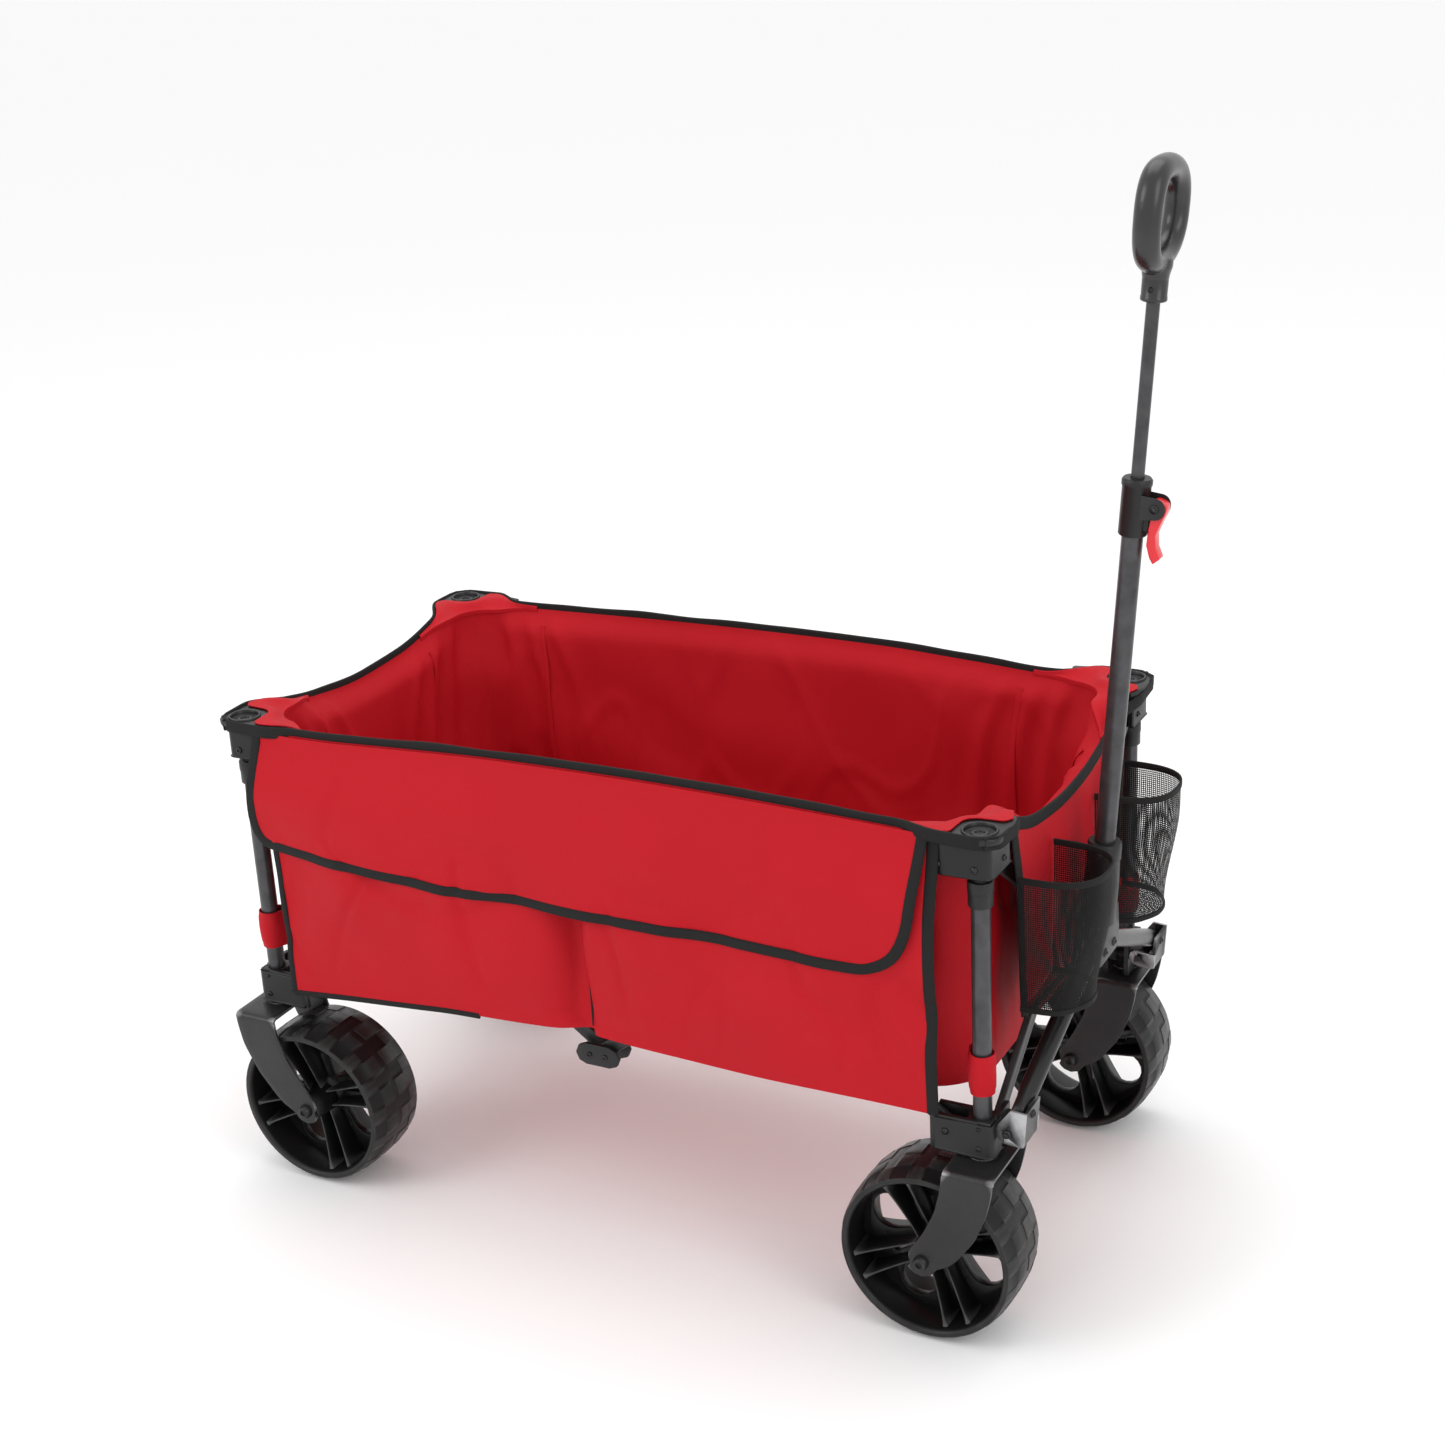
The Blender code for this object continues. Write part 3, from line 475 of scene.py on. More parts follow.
def pierced_plate(loops, axis, low, high):
    """A plate across an axis: the first loop is its outline, the others are holes."""
    bm = bmesh.new()
    edges = []
    for loop in loops:
        verts = [bm.verts.new(in_plane(axis, a, b, low)) for a, b in loop]
        for i in range(len(verts)):
            edges.append(bm.edges.new((verts[i - 1], verts[i])))
    bmesh.ops.triangle_fill(bm, use_beauty=True, edges=edges)
    lifted = bmesh.ops.extrude_face_region(bm, geom=bm.faces[:])
    for vert in [part for part in lifted["geom"] if isinstance(part, bmesh.types.BMVert)]:
        vert.co["XYZ".index(axis)] = high
    bmesh.ops.recalc_face_normals(bm, faces=bm.faces[:])
    bmesh.ops.dissolve_limit(bm, angle_limit=0.01, verts=bm.verts[:], edges=bm.edges[:])
    mesh = bpy.data.meshes.new("plate")
    bm.to_mesh(mesh)
    bm.free()
    return mesh


for corner, sx, sy in CORNERS:
    body = "cap_" + corner
    cx, cy = post_place(sx, sy)
    outline = [(cx + sx * u, cy + sy * v) for u, v in cap_arms]
    opening = [(p.x, p.y) for p in ring((cx, cy, 0), upwards, 0.0172, 32)]
    plate = bevelled(pierced_plate([outline, opening], "Z", 0.5452, 0.5512), 0.0011, 3, 50.0)
    dish = turned((cx, cy, 0), upwards, dish_profile, 40)
    housing = bevelled(rounded_corner(sx, sy, (0.048, 0.036), 0.0036, housing_foot, 0.5460), 0.0014, 3)
    webs = []
    for side in (-1, 1):
        near = sorted((cy + side * web_in, cy + side * web_out))
        reach = sorted((cx, centre_x + sx * (post_x - 0.050)))
        webs.append(block(reach[0], reach[1], near[0], near[1], web_low, web_high))
        near = sorted((cx + side * web_in, cx + side * web_out))
        reach = sorted((cy, sy * (post_y - 0.036)))
        webs.append(block(near[0], near[1], reach[0], reach[1], web_low, web_high))
    neck = turned((cx, cy, housing_foot), upwards, [(0, 0.0080), (0, 0.0118), (0.0380, 0.0130)], 30)
    pin_profile = [(0, 0.003), (2 * web_out, 0.003)]
    long_pin_foot = (centre_x + sx * (post_x - 0.038), cy - web_out, pin_height)
    short_pin_foot = (cx - web_out, sy * (post_y - 0.024), pin_height)
    long_pin = turned(long_pin_foot, (0, 1, 0), pin_profile, 16)
    short_pin = turned(short_pin_foot, (1, 0, 0), pin_profile, 16)
    inside = bevelled(joined(*webs), 0.0008, 2)
    cap = joined(plate, dish, housing, inside, neck, long_pin, short_pin)
    piece("corner_cap_" + corner, cap, cap_plastic, body, ["cap_" + corner])
    for k, (u, z, r) in enumerate(cap_screws):
        screw("cap_screw_%d_%s" % (k, corner), (cx + sx * u, cy + sy * skin_out, z), (0, sy, 0), r, body)
    end_place = (cx + sx * skin_out, cy - sy * 0.020, pin_height)
    screw("cap_end_screw_" + corner, end_place, (sx, 0, 0), 0.0032, body)

# ---------------------------------------------------------------------------
# Scissor bars and their lower joints: flattened steel bars, twelve of one
# length, riveted at every crossing. They fold the wagon both ways at once.
# ---------------------------------------------------------------------------
bar_coat = grained("bar_coat", (0.026, 0.026, 0.027), (0.048, 0.048, 0.050), (0.26, 0.26, 0.27),
                   0.38, 0.5, 500.0, 0.45, 0.8)
for side in ("right", "left"):
    for part in ("rear_a", "rear_b", "front_a", "front_b"):
        node = "brace_%s_%s" % (side, part)
        piece("scissor_%s_%s" % (side, part), refined(node, 0.0022, 3), bar_coat, node, [node])
    node = "centre_joint_" + side
    piece("lower_joint_" + side, refined(node, 0.0010), collar_plastic, node, [node])
    y = middle(node).y
    outwards = 1 if y > 0 else -1
    for k in (-1, 1):
        screw("lower_joint_screw_%d_%s" % (k + 1, side), at(k * 0.0095, y + outwards * 0.0142, 0.228),
              (0, outwards, 0), 0.0032, node)
for end in ("front", "rear"):
    for part in "ab":
        node = "brace_%s_%s" % (end, part)
        piece("scissor_%s_%s" % (end, part), refined(node, 0.0022, 3), bar_coat, node, [node])

# ---------------------------------------------------------------------------
# Wheels: one-piece moulded polypropylene, 190 mm across and 84 mm wide, with a
# deep barrel, four pairs of curved ribs on a pierced web and a low block tread.
# ---------------------------------------------------------------------------
wheel_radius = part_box("wheel_front_right")[1].z / 2
wheel_half = 0.042
barrel_inside = 0.0815


def tread_band():
    """The outer band: a crowned running face with low staggered blocks, over a smooth barrel."""
    pitches = 16
    steps = (0.0, 0.02, 0.135, 0.25, 0.365, 0.48, 0.5, 0.52, 0.635, 0.75, 0.865, 0.98)
    half_bands = (0.0040, 0.0045, 0.0222, 0.0230, 0.0390, 0.0415)
    bands = [-y for y in reversed(half_bands)] + list(half_bands)
    half_barrel = [(wheel_half, 0.0885), (wheel_half, 0.0850), (0.0408, 0.0836), (0.0360, 0.0822),
                   (0.0120, 0.0812)]
    barrel = half_barrel + [(-y, r) for y, r in reversed(half_barrel)]
    rows = []
    for i in range(pitches):
        for share in steps:
            angle = (i / pitches + share / pitches) * 2 * math.pi
            shoulder_block = 0.01 < share < 0.49
            section = []
            for y in bands:
                r = wheel_radius - 0.0012 - 0.0040 * (abs(y) / wheel_half) ** 3
                if 0.0228 < abs(y) < 0.0395 and shoulder_block:
                    r += 0.0007
                if 0.0043 < abs(y) < 0.0224 and not shoulder_block:
                    r += 0.0006
                section.append((y, r))
            rows.append([Vector((r * math.cos(angle), y, r * math.sin(angle))) for y, r in section + barrel])
    return from_rows(rows, closed_across=True, closed_along=True)


def drop_window(angle, tip, centre, radius):
    """A teardrop hole: a point towards the hub, round towards the rim."""
    spread = math.acos(radius / (centre - tip))
    points = [(tip, 0.0)]
    for i in range(13):
        turn = (math.pi - spread) - i / 12 * 2 * (math.pi - spread)
        points.append((centre + radius * math.cos(turn), -radius * math.sin(turn)))
    out = []
    for a, b in points:
        out.append((a * math.cos(angle) - b * math.sin(angle), a * math.sin(angle) + b * math.cos(angle)))
    return out


def pierced_web():
    """The web between hub and barrel, with four wide windows and four narrow ones."""
    edge = []
    for i in range(64):
        angle = 2 * math.pi * i / 64
        edge.append((barrel_inside * math.cos(angle), barrel_inside * math.sin(angle)))
    loops = [edge]
    for k in range(4):
        loops.append(drop_window(math.radians(90 * k + 45), 0.0225, 0.0550, 0.0200))
        loops.append(drop_window(math.radians(90 * k), 0.0235, 0.0490, 0.0054))
    web_half = 0.0045
    return bevelled(pierced_plate(loops, "Y", -web_half, web_half), 0.0014, 2, 50.0)


def curved_rib(angle, hand):
    """One rib from hub to rim, nearly level with its twin, flared where it meets the barrel."""
    rows = []
    for i in range(13):
        t = i / 12
        r = 0.0170 + t * (barrel_inside - 0.0170)
        deep = 0.0225 + 0.0130 * t ** 1.3
        turn = angle + hand * math.asin((0.0088 + 0.0046 * t ** 1.4) / r)
        thick = 0.0012 + 0.0018 * t ** 8
        side = Vector((-math.sin(turn), 0, math.cos(turn)))
        place = Vector((r * math.cos(turn), 0, r * math.sin(turn)))
        half_section = [(-deep, 0.55), (-deep + 0.0012, 1.0), (-0.004, 1.35),
                        (0.004, 1.35), (deep - 0.0012, 1.0), (deep, 0.55)]
        row = [place + side * thick * half + Vector((0, y, 0)) for y, half in half_section]
        row += [place - side * thick * half + Vector((0, y, 0)) for y, half in reversed(half_section)]
        rows.append(row)
    return from_rows(rows, closed_across=True, capped=True)


def moulded_wheel():
    """The whole wheel about its own middle, with its axle along Y."""
    ribs = []
    for k in range(4):
        for side in (-1, 1):
            ribs.append(curved_rib(math.radians(90 * k), side))
    hub_profile = [(0, 0.0060), (0, 0.0130), (0.0008, 0.0142), (0.0200, 0.0168), (0.0330, 0.0185),
                   (0.0360, 0.0230), (0.0395, 0.0255), (0.0491, 0.0255), (0.0526, 0.0230), (0.0556, 0.0185),
                   (0.0686, 0.0168), (0.0878, 0.0142), (0.0886, 0.0130), (0.0886, 0.0060)]
    hub = turned((0, -0.0443, 0), (0, 1, 0), hub_profile, 40, False)
    return joined(tread_band(), pierced_web(), hub, *ribs)


wheel_plastic = grained("wheel_plastic", (0.0042, 0.0042, 0.0044), (0.0090, 0.0090, 0.0092),
                        (0.13, 0.13, 0.13), 0.34, 0.3, 1000.0, 0.0, 1.5, 0.0, 0.24)
spins = {"rear_right": 1.22, "front_right": 1.17, "rear_left": 0.60, "front_left": 1.24}
wheel_shape = moulded_wheel()
for corner, sx, sy in CORNERS:
    place = middle("wheel_" + corner)
    shape = wheel_shape.copy()
    shape.transform(Matrix.Translation(place) @ Matrix.Rotation(spins[corner], 4, "Y"))
    piece("moulded_wheel_" + corner, shape, wheel_plastic, "wheel_" + corner,
          ["wheel_" + corner], 38.0)
bpy.data.meshes.remove(wheel_shape)

# ---------------------------------------------------------------------------
# Forks: 3 mm steel pressed to a bridge and two curved legs, hammer-finish
# powder coat. The front pair swivels under the post foot, the rear is fixed.
# ---------------------------------------------------------------------------
# The strong, pale edge colour paints the bright highlights along the forks' bends and edges, on top of wear.
fork_coat = grained("fork_coat", (0.024, 0.024, 0.025), (0.052, 0.052, 0.054), (0.45, 0.45, 0.46),
                    0.32, 0.90, 420.0, 0.60, 5.0)


def eased(points, level):
    """A value read from (level, value) pairs, rounded between them."""
    levels = np.array([p[0] for p in points])
    values = np.array([p[1] for p in points])
    spread = np.linspace(-0.006, 0.006, 7)
    return float(np.mean(np.interp(level + spread, levels, values)))


def pressed_fork(px, py, sx, trail):
    """A bent strip, from one leg's round end over the bridge to the other leg's."""
    reach = abs(trail)
    extra = reach - 0.048
    axle_z, round_end = wheel_radius, 0.0160
    front_edge = [(0.0790, -reach), (0.1000, -reach - 0.0160), (0.1280, -0.0460 - extra),
                  (0.1560, -0.0330 - 0.4 * extra), (0.1850, -0.0262), (0.2060, -0.0245)]
    back_edge = [(0.0790, -reach), (0.0880, -reach + 0.0150), (0.1010, -0.0140 - 0.9 * extra),
                 (0.1330, 0.0090 - 0.5 * extra), (0.1650, 0.0215), (0.1900, 0.0270), (0.2060, 0.0285)]
    half = []
    bottom = axle_z - round_end
    for i in range(27):
        t = i / 26
        z = bottom + 0.00002 + (0.1985 - bottom) * t ** 1.25
        a, b = eased(front_edge, z), eased(back_edge, z)
        if z < axle_z:
            wide = math.sqrt(max(round_end ** 2 - (z - axle_z) ** 2, 0))
            blend = min(1.0, (axle_z - z) / 0.008)
            a = (1 - blend) * a + blend * (-reach - wide)
            b = (1 - blend) * b + blend * (-reach + wide)
        half.append((0.0470, z, a, b))
    for i in range(1, 6):
        angle = math.pi / 2 * i / 5
        half.append((0.0420 + 0.0050 * math.cos(angle), 0.1980 + 0.0050 * math.sin(angle), -0.0245, 0.0285))
    for y in (0.034, 0.020, 0.008):
        half.append((y, 0.2030, -0.0243, 0.0283))
    strip = half + [(-y, z, a, b) for y, z, a, b in reversed(half)]
    rows = []
    for y, z, a, b in strip:
        row = []
        for j in range(7):
            u = a + (b - a) * j / 6
            row.append(Vector((px + sx * u, py + y, z)))
        rows.append(row)
    sheet_metal = from_rows(rows)
    rounding = {"width": 0.0006, "segments": 2, "limit_method": "ANGLE", "angle_limit": math.radians(50)}
    return worked(sheet_metal, ("SOLIDIFY", {"thickness": 0.0029, "offset": 0.0}), ("BEVEL", rounding))


seat_profile = [(0, 0.0150), (0.0030, 0.0150), (0.0034, 0.0140), (0.0043, 0.0140), (0.0044, 0.0125),
                (0.0062, 0.0125)]
shaft_profile = [(0, 0.0030), (0.0006, 0.0066), (0.0030, 0.0078), (0.0058, 0.0080), (0.0060, 0.0050),
                 (0.1030, 0.0050), (0.1032, 0.0080), (0.1060, 0.0078), (0.1084, 0.0066), (0.1090, 0.0030)]
for corner, sx, sy in CORNERS:
    px, py = post_place(sx, sy)
    axle = middle("axle_" + corner)
    body = "caster_" + corner if sx > 0 else post_body[corner]
    fork = pressed_fork(px, py, sx, axle.x - px)
    seat = turned((px, py, 0.2020), upwards, seat_profile, 32)
    fork_mesh = joined(fork, seat)
    piece("pressed_fork_" + corner, fork_mesh, fork_coat, body, ["fork_" + corner], 45.0)
    shaft = turned((axle.x, axle.y - 0.0545, axle.z), (0, 1, 0), shaft_profile, 28)
    piece("axle_bolt_" + corner, shaft, screw_steel, body, ["axle_" + corner])
    for side in (-1, 1):
        end_place = (axle.x, axle.y + side * 0.0535, axle.z)
        screw("axle_socket_%d_%s" % (side + 1, corner), end_place, (0, side, 0), 0.0058, body)

# ---------------------------------------------------------------------------
# Pull handle: two U-shaped steel links on the front brackets carry two thick
# tubes that meet in a moulded hub. It is drawn upright, then leaned forward.
# ---------------------------------------------------------------------------
tilt_pin = next(j for j in frame["joints"] if j["name"] == "handle_tilt")["pos_m"]
lean_by = math.radians(4.25)
upright = Matrix.Translation((tilt_pin[0], 0, tilt_pin[2])) @ Matrix.Rotation(lean_by, 4, "Y")
handle_forward = upright.to_3x3() @ Vector((1, 0, 0))
yoke_front, yoke_up, yoke_out, hub_out = 0.0045, 0.0175, 0.203, 0.014
hub_up = yoke_up + (yoke_out - hub_out) * math.tan(math.radians(25.0))


def leaned(mesh):
    """The mesh leaned forward with the handle."""
    mesh.transform(upright)
    return mesh


def flattened_tube(start, end, radius, eye, thin, sides=28):
    """A tube pressed flat round a rivet at each end, in the plane X = yoke_front."""
    run = end - start
    length = run.length
    along = run.normalized()
    across = along.cross(Vector((1, 0, 0)))
    rows = []
    end_places = [share * eye for share in (-0.98, -0.9, -0.7, -0.35, 0.0)]
    end_places += [0.007, 0.011, 0.016, 0.022, 0.030]
    for d in end_places + [length / 2] + [length - p for p in reversed(end_places)]:
        near = min(d, length - d)
        if near < 0:
            wide = math.sqrt(max(eye ** 2 - near ** 2, 0.0))
        else:
            wide = eye + (radius - eye) * min(1.0, near / 0.022)
        ease = min(1.0, max(0.0, (near - 0.008) / 0.016))
        deep = thin + (radius - thin) * ease * ease * (3 - 2 * ease)
        power = 0.55 + 0.45 * ease
        row = []
        for j in range(sides):
            angle = 2 * math.pi * j / sides
            c, s = math.cos(angle), math.sin(angle)
            row.append(start + along * d + across * (wide * math.copysign(abs(c) ** power, c))
                       + Vector((1, 0, 0)) * (deep * math.copysign(abs(s) ** power, s)))
        rows.append(row)
    return from_rows(rows, closed_across=True, capped=True)


for side, sy in (("right", -1), ("left", 1)):
    node = "yoke_clevis_" + side
    piece("steel_link_" + side, refined(node, 0.0009, 2), fork_coat, node, [node], 45.0)
    pin = Vector((tilt_pin[0], sy * 0.2245, tilt_pin[2]))
    screw("link_bolt_" + side, pin, (0, sy, 0), 0.0046, node)
    face = upright @ Vector((0.0179, sy * yoke_out, yoke_up))
    screw("link_screw_" + side, face, handle_forward, 0.0045, node)
    low_eye = Vector((yoke_front, sy * yoke_out, yoke_up))
    high_eye = Vector((yoke_front, sy * hub_out, hub_up))
    tube = leaned(flattened_tube(low_eye, high_eye, 0.0100, 0.0093, 0.0071))
    piece("slanted_tube_" + side, tube, tube_coat, "yoke_tube_" + side, ["yoke_tube_" + side])

plate_right = [(0.0250, -0.0130), (0.0285, -0.0090), (0.0290, 0.0080), (0.0235, 0.0280), (0.0175, 0.0450)]
plate_left = [(-y, up) for y, up in reversed(plate_right)]
hub_plate = [(y, hub_up + up) for y, up in plate_left[-1:] + plate_right + plate_left[:-1]]
hub_parts = []
for face in (-1, 1):
    low, high = sorted((yoke_front + face * 0.0106, yoke_front + face * 0.0150))
    hub_parts.append(bevelled(slab(hub_plate, "X", low, high), 0.0014, 3))
hub_barrel = [(hub_up + 0.0260, 0.0110), (hub_up + 0.0260, 0.0165), (hub_up + 0.0285, 0.0180),
              (0.1800, 0.0180), (0.2040, 0.0168), (0.2060, 0.0178), (0.2220, 0.0174), (0.2240, 0.0162),
              (0.2240, 0.0109), (0.1500, 0.0108)]
hub_parts.append(turned((yoke_front, 0, 0), upwards, hub_barrel, 40, False))
hub = leaned(joined(*hub_parts))
piece("handle_hub", hub, collar_plastic, "handle", ["handle_socket"])
for k, out, up, radius in ((-1, -hub_out, hub_up, 0.0048), (1, hub_out, hub_up, 0.0048),
                           (1, 0.0, hub_up + 0.036, 0.0030)):
    place = upright @ Vector((yoke_front + 0.0150, out, up))
    screw("hub_screw_%d_%d" % (k + 1, int(up * 1000)), place, handle_forward, radius, "handle")
screw("socket_screw", upright @ Vector((yoke_front, -0.0176, 0.2140)), (0, -1, 0), 0.0030, "handle")

# ---------------------------------------------------------------------------
# Telescoping tube: outer steel tube 21 mm across, a moulded clamp at its top
# with a red cam lever, and a 13 mm tube inside that carries the grip.
# ---------------------------------------------------------------------------
low_outer, high_outer = hub_up + 0.0365, 0.5998
outer_profile = [(low_outer, 0.0086), (low_outer, 0.0105), (high_outer, 0.0105), (high_outer, 0.0086)]
outer = turned((yoke_front, 0, 0), upwards, outer_profile, 40, False)
piece("outer_handle_tube", leaned(outer), tube_coat, "handle", ["handle_outer_tube"])
inner = turned((yoke_front, 0, 0), upwards, [(0.3450, 0.0050), (0.3450, 0.0065), (0.7955, 0.0065)], 32)
piece("inner_handle_tube", leaned(inner), tube_coat, "handle_upper", ["handle_inner_tube"])

lever_out, lever_up = 0.0220, 0.5810
clamp_profile = [(0.5500, 0.0109), (0.5500, 0.0134), (0.5512, 0.0142), (0.5985, 0.0140), (0.5997, 0.0149),
                 (0.6045, 0.0149), (0.6065, 0.0134), (0.6065, 0.0070), (0.5990, 0.0070)]
clamp_barrel = turned((yoke_front, 0, 0), upwards, clamp_profile, 40, False)
ear_in, ear_out, ear_radius = 0.0074, 0.0112, 0.0100
ear_outline = []
for i in range(21):
    angle = -math.pi / 2 + math.pi * i / 20
    forwards = yoke_front + lever_out + ear_radius * math.cos(angle)
    ear_outline.append((forwards, lever_up + ear_radius * math.sin(angle)))
ear_outline += [(yoke_front + 0.006, lever_up + 0.0110), (yoke_front + 0.006, lever_up - 0.0120)]
ears = []
for face in (-1, 1):
    low, high = sorted((face * ear_in, face * ear_out))
    ears.append(bevelled(slab(ear_outline, "Y", low, high), 0.0009, 3))
spine = block(yoke_front + 0.009, yoke_front + 0.0165, -ear_in, ear_in, 0.5560, 0.5720)
clamp = leaned(joined(clamp_barrel, *ears, bevelled(spine, 0.0012, 2)))
piece("tube_clamp", clamp, collar_plastic, "handle", ["handle_clamp"])
for face in (-1, 1):
    place = upright @ Vector((yoke_front + lever_out, face * ear_out, lever_up))
    screw("clamp_bolt_%d" % (face + 1), place, (0, face, 0), 0.0044, "handle")

lever_red = grained("lever_red", (0.62, 0.012, 0.020), (0.74, 0.020, 0.030), (0.85, 0.10, 0.10),
                    0.30, 0.12, 1500.0, 0.0, 0.3, 0.3)
lever = refined("clamp_lever", 0.0018, 3)
piece("cam_lever", lever, lever_red, "clamp_lever", ["clamp_lever"], 50.0)

# ---------------------------------------------------------------------------
# Grip: a moulded loop of glass-filled nylon with a soft satin skin, straighter
# on one side, on a short collar that is screwed to the inner tube.
# ---------------------------------------------------------------------------
grip_plastic = grained("grip_satin", (0.0100, 0.0100, 0.0103), (0.0190, 0.0190, 0.0195), (0.06, 0.06, 0.06),
                       0.27, 0.22, 1600.0, 0.0, 0.4, 0.12, 0.5)
loop_up, loop_wide, loop_tall = 0.8560, 0.0405, 0.0420
loop_rows = []
for i in range(96):
    angle = 2 * math.pi * i / 96
    c, s = math.cos(angle), math.sin(angle)
    flat = 0.62 if c < 0 else 0.92
    wide = loop_wide if c < 0 else loop_wide + 0.0065
    centre = Vector((yoke_front, wide * math.copysign(abs(c) ** flat, c),
                     loop_up + loop_tall * math.copysign(abs(s) ** 0.85, s)))
    out = Vector((0, c * loop_tall, s * loop_wide)).normalized()
    swell = 1.0 + 0.08 * max(0.0, -c) + 0.06 * max(0.0, s)
    row = []
    for j in range(24):
        turn = 2 * math.pi * j / 24
        thick, deep = 0.0112 * swell * math.cos(turn), 0.0122 * swell * math.sin(turn)
        row.append(centre + out * thick + Vector((deep, 0, 0)))
    loop_rows.append(row)
loop = from_rows(loop_rows, closed_across=True, closed_along=True)
throat_profile = [(0.7960, 0.0124), (0.8020, 0.0132), (0.8080, 0.0150), (0.8160, 0.0150)]
throat = turned((yoke_front, 0, 0), upwards, throat_profile, 32)
moulding = worked(joined(loop, throat), ("REMESH", {"mode": "VOXEL", "voxel_size": 0.0011}),
                  ("SMOOTH", {"iterations": 9, "factor": 0.6}))
collar_profile = [(0.7760, 0.0068), (0.7760, 0.0118), (0.7768, 0.0126), (0.7800, 0.0126), (0.7806, 0.0122),
                  (0.8000, 0.0124), (0.8010, 0.0110)]
collar = turned((yoke_front, 0, 0), upwards, collar_profile, 40)
grip = leaned(joined(moulding, collar))
piece("loop_grip", grip, grip_plastic, "handle_upper", ["handle_grip"])
screw("grip_screw", upright @ Vector((yoke_front, -0.0123, 0.7880)), (0, -1, 0), 0.0027, "handle_upper")

# ---------------------------------------------------------------------------
# Basket: red coated polyester cloth, a liner of four walls sewn at the corners
# and hung from the caps. Its top edges swing out over the bars and sag.
# ---------------------------------------------------------------------------
weave, weave_in, weave_out = group(
    "weave", [("Thread", 0.0011), ("Patch Scale", 7.0)], ["Height", "Shade", "Patch"]
)
place = weave.nodes.new("ShaderNodeTexCoord").outputs["Object"]
split = weave.nodes.new("ShaderNodeSeparateXYZ")
weave.links.new(place, split.inputs["Vector"])
along_cloth = sum_of(weave, "ADD", split.outputs["X"], split.outputs["Y"])
pitch = sum_of(weave, "DIVIDE", 2 * math.pi, weave_in.outputs["Thread"])
warp = sum_of(weave, "SINE", sum_of(weave, "MULTIPLY", along_cloth, pitch), None)
weft = sum_of(weave, "SINE", sum_of(weave, "MULTIPLY", split.outputs["Z"], pitch), None)
crossing = sum_of(weave, "MULTIPLY", warp, weft)
slub = noise_of(weave, 420.0, 3.0, 0.7)
relief = sum_of(weave, "ADD", crossing, sum_of(weave, "MULTIPLY", slub, 1.4))
weave.links.new(relief, weave_out.inputs["Height"])
shade = sum_of(weave, "ADD", sum_of(weave, "MULTIPLY", crossing, 0.18), sum_of(weave, "MULTIPLY", slub, 0.6))
weave.links.new(shade, weave_out.inputs["Shade"])
weave.links.new(noise_of(weave, weave_in.outputs["Patch Scale"], 4.0, 0.6), weave_out.inputs["Patch"])


def woven(name, dark, light, rough, bump, thread, glare):
    """A cloth material: crossing threads and slow patches of tone, with little glare."""
    made, nodes, links, shader = matter(name)
    tree = made.node_tree
    cloth = nodes.new("ShaderNodeGroup")
    cloth.node_tree = weave
    cloth.inputs["Thread"].default_value = thread
    fine = mix_colours(tree, cloth.outputs["Shade"], dark, light)
    slow = mix_colours(tree, cloth.outputs["Patch"], dark, light)
    both = nodes.new("ShaderNodeMix")
    both.data_type = "RGBA"
    both.inputs["Factor"].default_value = 0.5
    links.new(fine.outputs["Result"], both.inputs["A"])
    links.new(slow.outputs["Result"], both.inputs["B"])
    links.new(both.outputs["Result"], shader.inputs["Base Color"])
    spread = nodes.new("ShaderNodeMapRange")
    spread.inputs["To Min"].default_value = rough - 0.06
    spread.inputs["To Max"].default_value = rough + 0.08
    links.new(cloth.outputs["Patch"], spread.inputs["Value"])
    links.new(spread.outputs["Result"], shader.inputs["Roughness"])
    bumps = nodes.new("ShaderNodeBump")
    bumps.inputs["Strength"].default_value = bump
    bumps.inputs["Distance"].default_value = 0.0003
    links.new(cloth.outputs["Height"], bumps.inputs["Height"])
    links.new(bumps.outputs["Normal"], shader.inputs["Normal"])
    shader.inputs["Specular IOR Level"].default_value = glare
    return made


red_cloth = woven("red_polyester", (0.400, 0.0050, 0.0110), (0.540, 0.0110, 0.0200), 0.58, 0.35, 0.0011, 0.12)
black_tape = woven("black_binding", (0.0070, 0.0065, 0.0065), (0.0180, 0.0170, 0.0170),
                   0.72, 0.6, 0.0014, 0.22)

# The height of each top edge, by place along its side.
edge_of = {
    "near": [(-0.44, 0.5480), (-0.39, 0.5465), (-0.31, 0.5470), (-0.22, 0.5520), (-0.12, 0.5570),
             (-0.02, 0.5585), (0.08, 0.5590), (0.18, 0.5575), (0.25, 0.5555), (0.31, 0.5535), (0.36, 0.5515),
             (0.44, 0.5480)],
    "far": [(-0.44, 0.5480), (-0.382, 0.5495), (-0.31, 0.5510), (-0.21, 0.5540), (-0.10, 0.5565),
            (0.0, 0.5575), (0.095, 0.5575), (0.16, 0.5565), (0.23, 0.5525), (0.29, 0.5495), (0.325, 0.5460),
            (0.372, 0.5475), (0.44, 0.5480)],
    "rear": [(-0.22, 0.5480), (-0.17, 0.5475), (-0.12, 0.5375), (-0.03, 0.5245), (0.05, 0.5265),
             (0.105, 0.5310), (0.14, 0.5420), (0.17, 0.5480), (0.22, 0.5480)],
    "front": [(-0.22, 0.5480), (-0.17, 0.5420), (-0.128, 0.5225), (-0.057, 0.5080), (0.0, 0.5050),
              (0.063, 0.5085), (0.127, 0.5245), (0.17, 0.5400), (0.22, 0.5480)],
}


def height_on(edge, place, spread=0.03):
    """The rim's height, read smoothly along one edge."""
    levels = np.array([p[0] for p in edge])
    values = np.array([p[1] for p in edge])
    return float(np.mean(np.interp(place + np.linspace(-spread, spread, 9), levels, values)))


def smooth_step(a, b, value):
    """0 up to a, 1 from b, and an even S between."""
    t = min(1.0, max(0.0, (value - a) / (b - a)))
    return t * t * (3 - 2 * t)


